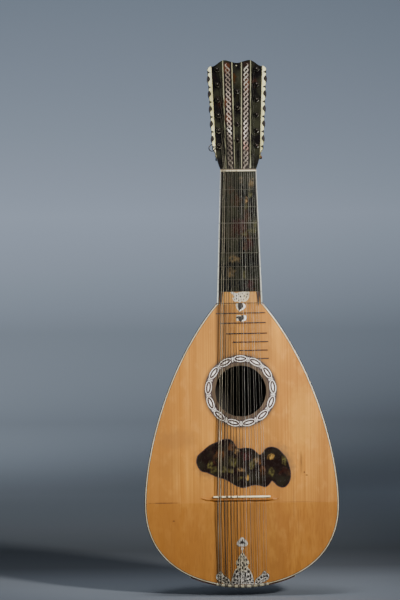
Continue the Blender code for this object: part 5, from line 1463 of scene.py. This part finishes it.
def make_head():
    rings = head_rings(0, HEAD_THICKNESS)
    count = 48
    bm = bmesh.new()
    skin(bm, rings, caps=False)
    bm.verts.ensure_lookup_table()
    size = len(rings[0])
    for first in (0, (len(rings) - 1) * size):
        ring = [bm.verts[first + i] for i in range(size)]
        back = [ring[0]] + ring[:count:-1] + [ring[count]]
        for i in range(count):
            bm.faces.new(list(dict.fromkeys((ring[i], ring[i + 1], back[i + 1], back[i]))))
    head = shape("head_core", bm, LOOK["ebony"], 35)
    cut(head, peg_holes())
    head.data.shade_smooth()
    head.data.set_sharp_from_angle(angle=radians(35))
    settle(head, "neck_wood", "head")
    face = [(-head_half(s), s) for s in (1, HEAD_ROOT, HEAD_LENGTH)]
    face += [(x, HEAD_LENGTH + crest(x)) for x in [-HEAD_TOP_HALF + HEAD_TOP_HALF * i / 32 for i in range(1, 64)]]
    face += [(head_half(s), s) for s in (HEAD_LENGTH, HEAD_ROOT, 1)]
    veneer = plates("head_veneer", [face], -0.35, 0.34, LOOK["head_shell"], on_head)
    cut(veneer, peg_holes())
    settle(veneer, "tortoiseshell")


def peg_holes():
    bm = bmesh.new()
    for _name, x, s in peg_places():
        rings = []
        for y, radius in ((-2, 3.5), (17, 4.65)):
            rings.append([on_head(x + radius * cos(2 * pi * i / 28), y, s + radius * sin(2 * pi * i / 28))
                          for i in range(28)])
        skin(bm, rings)
    return shape("peg_holes", bm, LOOK["ebony"])


def line_x(inner, s):
    """Sideways place of the light lines on the head, which draw together towards the nut."""
    low, high = (5.6, 8.3) if inner else (20.6, 24.0)
    return low + (high - low) * s / HEAD_LENGTH


def make_head_lines():
    forms = []
    for flip in (1, -1):
        for inner in (True, False):
            top = HEAD_LENGTH + crest(line_x(inner, HEAD_LENGTH)) - 0.3
            low, high = line_x(inner, 0), line_x(inner, HEAD_LENGTH)
            forms.append([(flip * (x + side * 0.8), s) for x, s, side in (
                (low, 1, -1), (low, 1, 1), (high, top, 1), (high, top, -1))])
    forms.append(ellipse(-0.6, HEAD_LENGTH + 1.5, 1.3, 1.1, 12))
    settle(plates("head_lines", forms, -0.6, 0.4, LOOK["line_bone"], on_head), "bone")
    grounds = []
    for flip in (1, -1):
        grounds.append([(flip * x, s) for x, s in (
            (line_x(True, 0), 1), (line_x(False, 0), 1), (line_x(False, HEAD_LENGTH), HEAD_LENGTH + 8),
            (line_x(True, HEAD_LENGTH), HEAD_LENGTH + 7.6))])
    settle(plates("band_grounds", grounds, -0.42, 0.3, LOOK["red_ground"], on_head), "tortoiseshell")


def make_cable_bands():
    """Interlaced pearl strands on both sides of the middle, a mirror of each other."""
    half = [(0, 0), (1.5, 1.5), (2.7, 3.0), (3.3, 4.4), (3.1, 5.8), (2.3, 6.9), (1.3, 7.7)]
    path = smooth_loop([(-x, -z) for x, z in half[:0:-1]] + half, 2, closed=False)
    widths = [0.3 + 1.0 * sin(pi * i / (len(path) - 1)) for i in range(len(path))]
    strand = ribbon(path, widths)
    pitch = 8.85
    for flip, name in ((1, "right"), (-1, "left")):
        form = plates(f"cable_band_{name}", [moved(strand, flip=flip)], -0.75, 0.45, LOOK["cable_pearl"], plain)
        low = (line_x(True, 0) + line_x(False, 0)) / 2
        high = (line_x(True, HEAD_LENGTH) + line_x(False, HEAD_LENGTH)) / 2
        step = (high - low) * pitch / HEAD_LENGTH
        grown(form, ROW, on_head, count=21, start_across=flip * low * MM, step_across=flip * step * MM,
              start_up=6.5 * MM, step_up=pitch * MM, finish=LOOK["cable_pearl"])
        settle(form, "pearl")


def scalloped(s):
    """How far the strip is cut back: a sharp notch, then a hollow where a dark leaf sits."""
    after = (s - NOTCH_START) % NOTCH_PITCH
    notch = max(0.0, 1 - min(after, NOTCH_PITCH - after) / 2.6)
    hollow = max(0.0, 1 - ((after - LEAF_AFTER) / 5.8) ** 2)
    return 4.6 * notch + 3.4 * hollow


def make_head_edges():
    foot, steps = HEAD_ROOT - 3, 330
    rise = (HEAD_TOP_HALF - HEAD_LOW_HALF) / (HEAD_LENGTH - HEAD_ROOT)
    for flip, name in ((-1, "left"), (1, "right")):
        rings, slant = [], []
        for i in range(steps + 1):
            s = foot + (HEAD_LENGTH - foot) * i / steps
            near = head_half(s) + GAP / 2
            wide = EDGE_WIDTH - 3.0 + 2.3 * s / HEAD_LENGTH
            top = max(0.0, s - HEAD_LENGTH + 6) ** 2 / 9
            far = near + (wide - scalloped(s)) * min(1, 0.12 + (s - foot) / 22) - top
            a, b = flip * near, flip * far
            rings.append([on_head(a, -0.5, s), on_head(b - flip * 0.4, -0.5, s), on_head(b, 0.1, s),
                          on_head(b, EDGE_THICKNESS, s), on_head(a, EDGE_THICKNESS, s)])
            if s < foot + 14:
                slant.append(on_head(b, 0.2, s))
        obj = loft(f"scalloped_edge_{name}", rings, LOOK["yellow_bone"], 40)
        settle(obj, "bone", f"head_edge_{name}")
        foot_line = grown(paths(f"edge_foot_line_{name}", [slant]), STRIP, radius=0.75 * MM, finish=LOOK["ebony"])
        settle(foot_line, "dark_wood")
        rise_edge = rise + 2.3 / HEAD_LENGTH
        edge = HEAD_LOW_HALF + EDGE_WIDTH - 3.0 - rise * HEAD_ROOT
        for kind, form, count, first in (
                ("notch_fillets", [(-4.5, 0.2), (-0.1, 2.7), (0.6, 1.4), (0.6, -1.2), (-0.1, -2.7)], NOTCHES, NOTCH_START),
                ("edge_leaves", smooth_loop([(0.4, -6.2), (0.4, -6.2), (2.2, -2.0), (1.9, 1.9), (0.1, 5.9), (0.1, 5.9),
                                             (-2.9, 1.4), (-2.8, -1.8)], 4), NOTCHES - 1, NOTCH_START + LEAF_AFTER)):
            obj = plates(f"{kind}_{name}", [[(flip * x, z) for x, z in form]], -0.45, 7.8, LOOK["ebony"], plain)
            grown(obj, ROW, on_head, count=count, start_across=flip * (edge + rise_edge * first) * MM,
                  step_across=flip * rise_edge * NOTCH_PITCH * MM, start_up=first * MM, step_up=NOTCH_PITCH * MM,
                  finish=LOOK["ebony"])
            settle(obj, "dark_wood")


# Pegs

PEG_PROFILE = (
    (-9.0, 2.0), (-8.9, 2.6), (-8.4, 3.0), (-7.6, 3.15), (-3, 3.2), (0, 3.25), (15, 4.05), (15.35, 4.1), (15.4, 5.2),
    (15.8, 5.6), (18.0, 5.6), (18.6, 5.2), (19.0, 4.2), (20.2, 3.4), (23.5, 3.0), (26.0, 3.2, 3.0), (27.4, 4.6, 3.1),
    (29.2, 7.0, 3.2), (31.8, 9.6, 3.1), (35.5, 11.5, 2.8), (39.5, 12.0, 2.55), (44, 11.4, 2.45), (48, 9.7, 2.4),
    (51, 7.0, 2.3), (53.4, 4.2, 2.1), (54.8, 2.4, 1.7), (55.3, 1.2, 1.0),
)


def make_pegs():
    for index, (name, x, s) in enumerate(peg_places()):
        turn = Matrix.Rotation(radians(120 - 83 * index), 4, "Y")

        def place(point, x=x, s=s, turn=turn):
            return on_head(*(turn @ point + Vector((x, 0, s))))
        peg = turned(f"turned_{name}", PEG_PROFILE, LOOK["peg_wood"], place, 28, 40)
        settle(peg, "dark_wood", name, body=name)
        dots = bmesh.new()
        for profile in (((-9.5, 0.5), (-9.4, 0.9), (-9.2, 1.15), (-8.8, 1.2)),
                        ((54.9, 1.2), (55.4, 1.5), (56.0, 1.5), (56.6, 1.1), (56.9, 0.5))):
            rings = []
            for y, radius in profile:
                rings.append([place(Vector((radius * cos(2 * pi * i / 16), y, radius * sin(2 * pi * i / 16))))
                              for i in range(16)])
            skin(dots, rings)
        settle(shape(f"dots_{name}", dots, LOOK["peg_bone"], 60), "bone", body=name)


# Strings

def make_strings():
    for number in range(1, 17):
        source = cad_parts[f"string_{number}"]
        bm = bmesh.new()
        bm.from_mesh(source.data)
        bmesh.ops.remove_doubles(bm, verts=bm.verts, dist=1e-6)
        bmesh.ops.join_triangles(bm, faces=bm.faces, angle_face_threshold=0.5, angle_shape_threshold=3.0)
        mesh = bpy.data.meshes.new(f"drawn_string_{number}")
        bm.to_mesh(mesh)
        bm.free()
        obj = bpy.data.objects.new(mesh.name, mesh)
        bpy.context.scene.collection.objects.link(obj)
        course = (number - 1) // 2
        radius = 1.3 * (0.45 / 1.3) ** (course / 7) / 2
        swell = obj.modifiers.new("swell", "DISPLACE")
        swell.strength = radius * 0.16 * MM
        swell.mid_level = 0
        round_off = obj.modifiers.new("round", "SUBSURF")
        round_off.levels = round_off.render_levels = 1
        baked(obj)
        obj.data.materials.clear()
        # Strings 1 and 2 are paler brass; string 10 takes a lighter copy of the steel as a painted highlight, strings 9
        # and 12 a darker copy as painted shade.
        metal = "pale_brass" if number <= 2 else "brass" if number <= 8 else "steel"
        metal = {9: "dull_steel", 10: "bright_steel", 12: "dull_steel"}.get(number, metal)
        slot = "brass_string" if number <= 8 else "steel_string"
        obj.data.materials.append(LOOK[metal])
        obj.data.shade_smooth()
        settle(obj, slot, f"string_{number}")


def make_loose_end():
    """End of the lowest string, curled round beside the head."""
    curl = smooth_loop([(-36.0, -5.4, 37.6), (-39.0, -4.0, 34.0), (-43.0, -2.4, 32.0), (-46.8, -1.6, 32.8),
                        (-49.0, -1.4, 36.0), (-48.8, -1.4, 40.0), (-46.4, -1.6, 43.0), (-43.2, -1.8, 43.8)], 6, False)
    wire = grown(paths("curled_wire_end", [[on_head(*point) for point in curl]]), STRIP, radius=0.8 * MM,
                 finish=LOOK["ebony"])
    wire.data.shade_smooth()
    settle(wire, "brass_string")


def dress_inside():
    # Near-black wood on the blocks and braces, as painted shade.
    for name in ("tail_block", "neck_block", "brace_upper", "brace_lower"):
        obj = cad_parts[name]
        obj.data.materials.clear()
        obj.data.materials.append(LOOK["inner"])


# Floor, light and camera

SWEEP_START, SWEEP_DEPTH, SWEEP_RISE = 2.5, 7.5, 4.5
# Painted light and shade on the paper: darker and lighter bands at set distances behind the instrument.
PAPER_LIGHT_AND_SHADE = (
    (0.02, (0.25, 0.285, 0.34)), (0.04, (0.235, 0.265, 0.315)), (0.07, (0.115, 0.13, 0.155)), (0.115, (0.095, 0.11, 0.13)),
    (0.2, (0.235, 0.27, 0.315)), (0.3, (0.38, 0.435, 0.51)), (0.37, (0.26, 0.298, 0.35)), (0.44, (0.155, 0.178, 0.21)),
    (0.56, (0.19, 0.218, 0.257)), (0.68, (0.42, 0.475, 0.57)), (0.86, (0.30, 0.353, 0.435)))


def make_stage():
    """Sheet that lies flat under the instrument and sweeps up behind it in one long curve."""
    floor_z = (TAIL_Z - 16) * MM
    bm = bmesh.new()
    profile = [(-12.0, 0.0), (SWEEP_START, 0.0)]
    profile += [(SWEEP_START + SWEEP_DEPTH * sin(radians(a)), SWEEP_RISE * (1 - cos(radians(a)))) for a in range(3, 91, 3)]
    profile.append((SWEEP_START + SWEEP_DEPTH, 8.0))
    rows = [[bm.verts.new((x, y, floor_z + z)) for y, z in profile] for x in (-12, 12)]
    for i in range(len(profile) - 1):
        bm.faces.new((rows[0][i], rows[1][i], rows[1][i + 1], rows[0][i + 1]))
    look = Finish("studio_paper", (0.29, 0.33, 0.385), 0.9)
    away = look.ramp(look.math("DIVIDE", look.axis("Y"), 10.0), *PAPER_LIGHT_AND_SHADE)
    mottle = look.noise((0.8, 0.8, 0.8), detail=4.0)
    look.set("Base Color", look.mix(look.ramp(mottle, (0.3, 0.0), (0.7, 0.06)), away, (0.34, 0.38, 0.44)))
    floor = shape("studio_floor", bm, look.made, 60)


def aimed(name, kind, place, target, power, color, **settings):
    data = bpy.data.lights.new(name, kind)
    data.energy, data.color = power, color
    for key, value in settings.items():
        setattr(data, key, value)
    lamp = bpy.data.objects.new(name, data)
    lamp.location = place
    lamp.rotation_euler = (Vector(target) - Vector(place)).to_track_quat("-Z", "Y").to_euler()
    bpy.context.scene.collection.objects.link(lamp)


def make_lights():
    middle = (0, 0, -0.35)
    soft = {"shape": "DISK"}
    aimed("key", "SPOT", (0.98, -2.05, 0.32), (0.08, 0, -0.18), 400, (1.0, 0.96, 0.90), spot_size=radians(33),
          spot_blend=1.0, shadow_soft_size=0.13)
    aimed("fill", "AREA", (-2.2, -2.4, 0.1), middle, 14, (0.90, 0.95, 1.0), size=2.4, **soft)
    aimed("high", "AREA", (0.4, -0.7, 2.2), middle, 7, (1.0, 1.0, 1.0), size=1.2, **soft)
    cone = {"spot_blend": 1.0, "shadow_soft_size": 0.5}
    aimed("paper", "SPOT", (-1.8, 0.8, 2.6), (-0.6, 6.6, 0.1), 1600, (0.92, 0.96, 1.0), spot_size=radians(60), **cone)
    aimed("floor", "SPOT", (-0.3, -1.4, 2.4), (-0.1, -0.38, -0.72), 120, (1.0, 1.0, 1.0), spot_size=radians(36), **cone)
    world = bpy.data.worlds.new("studio")
    world.use_nodes = True
    world.node_tree.nodes["Background"].inputs["Color"].default_value = (0.86, 0.93, 1.0, 1)
    world.node_tree.nodes["Background"].inputs["Strength"].default_value = 0.14
    bpy.context.scene.world = world


# Photograph: 600 pixels high at 1.7 mm each in the plane of the soundboard
FRAME_HEIGHT = 1.0185
DISTANCE = 6.0
FRAME_CENTER = Vector((-0.0673, 0, -0.2178))
LEAN = radians(0.64)


def make_camera():
    data = bpy.data.cameras.new("front")
    data.sensor_fit = "VERTICAL"
    data.sensor_height = 24
    data.lens = 24 * DISTANCE / FRAME_HEIGHT
    camera = bpy.data.objects.new("front", data)
    camera.location = FRAME_CENTER + Vector((0, -DISTANCE, 0))
    camera.rotation_euler = (Matrix.Rotation(LEAN, 3, "Y") @ Matrix.Rotation(pi / 2, 3, "X")).to_euler()
    bpy.context.scene.collection.objects.link(camera)
    bpy.context.scene.camera = camera


make_camera()
make_staves()
make_stave_lines()
make_tail_cap()
make_hitch_pins()
make_soundboard()
make_edges()
make_board_frets()
make_rosette()
make_scratchplate()
make_tail_ornament()
make_tail_guard()
make_bridge()
make_saddle()
make_neck()
make_fingerboard()
make_frets()
make_nut()
make_neck_pearl()
make_head()
make_head_lines()
make_cable_bands()
make_head_edges()
make_pegs()
make_strings()
make_loose_end()
dress_inside()
make_stage()
make_lights()
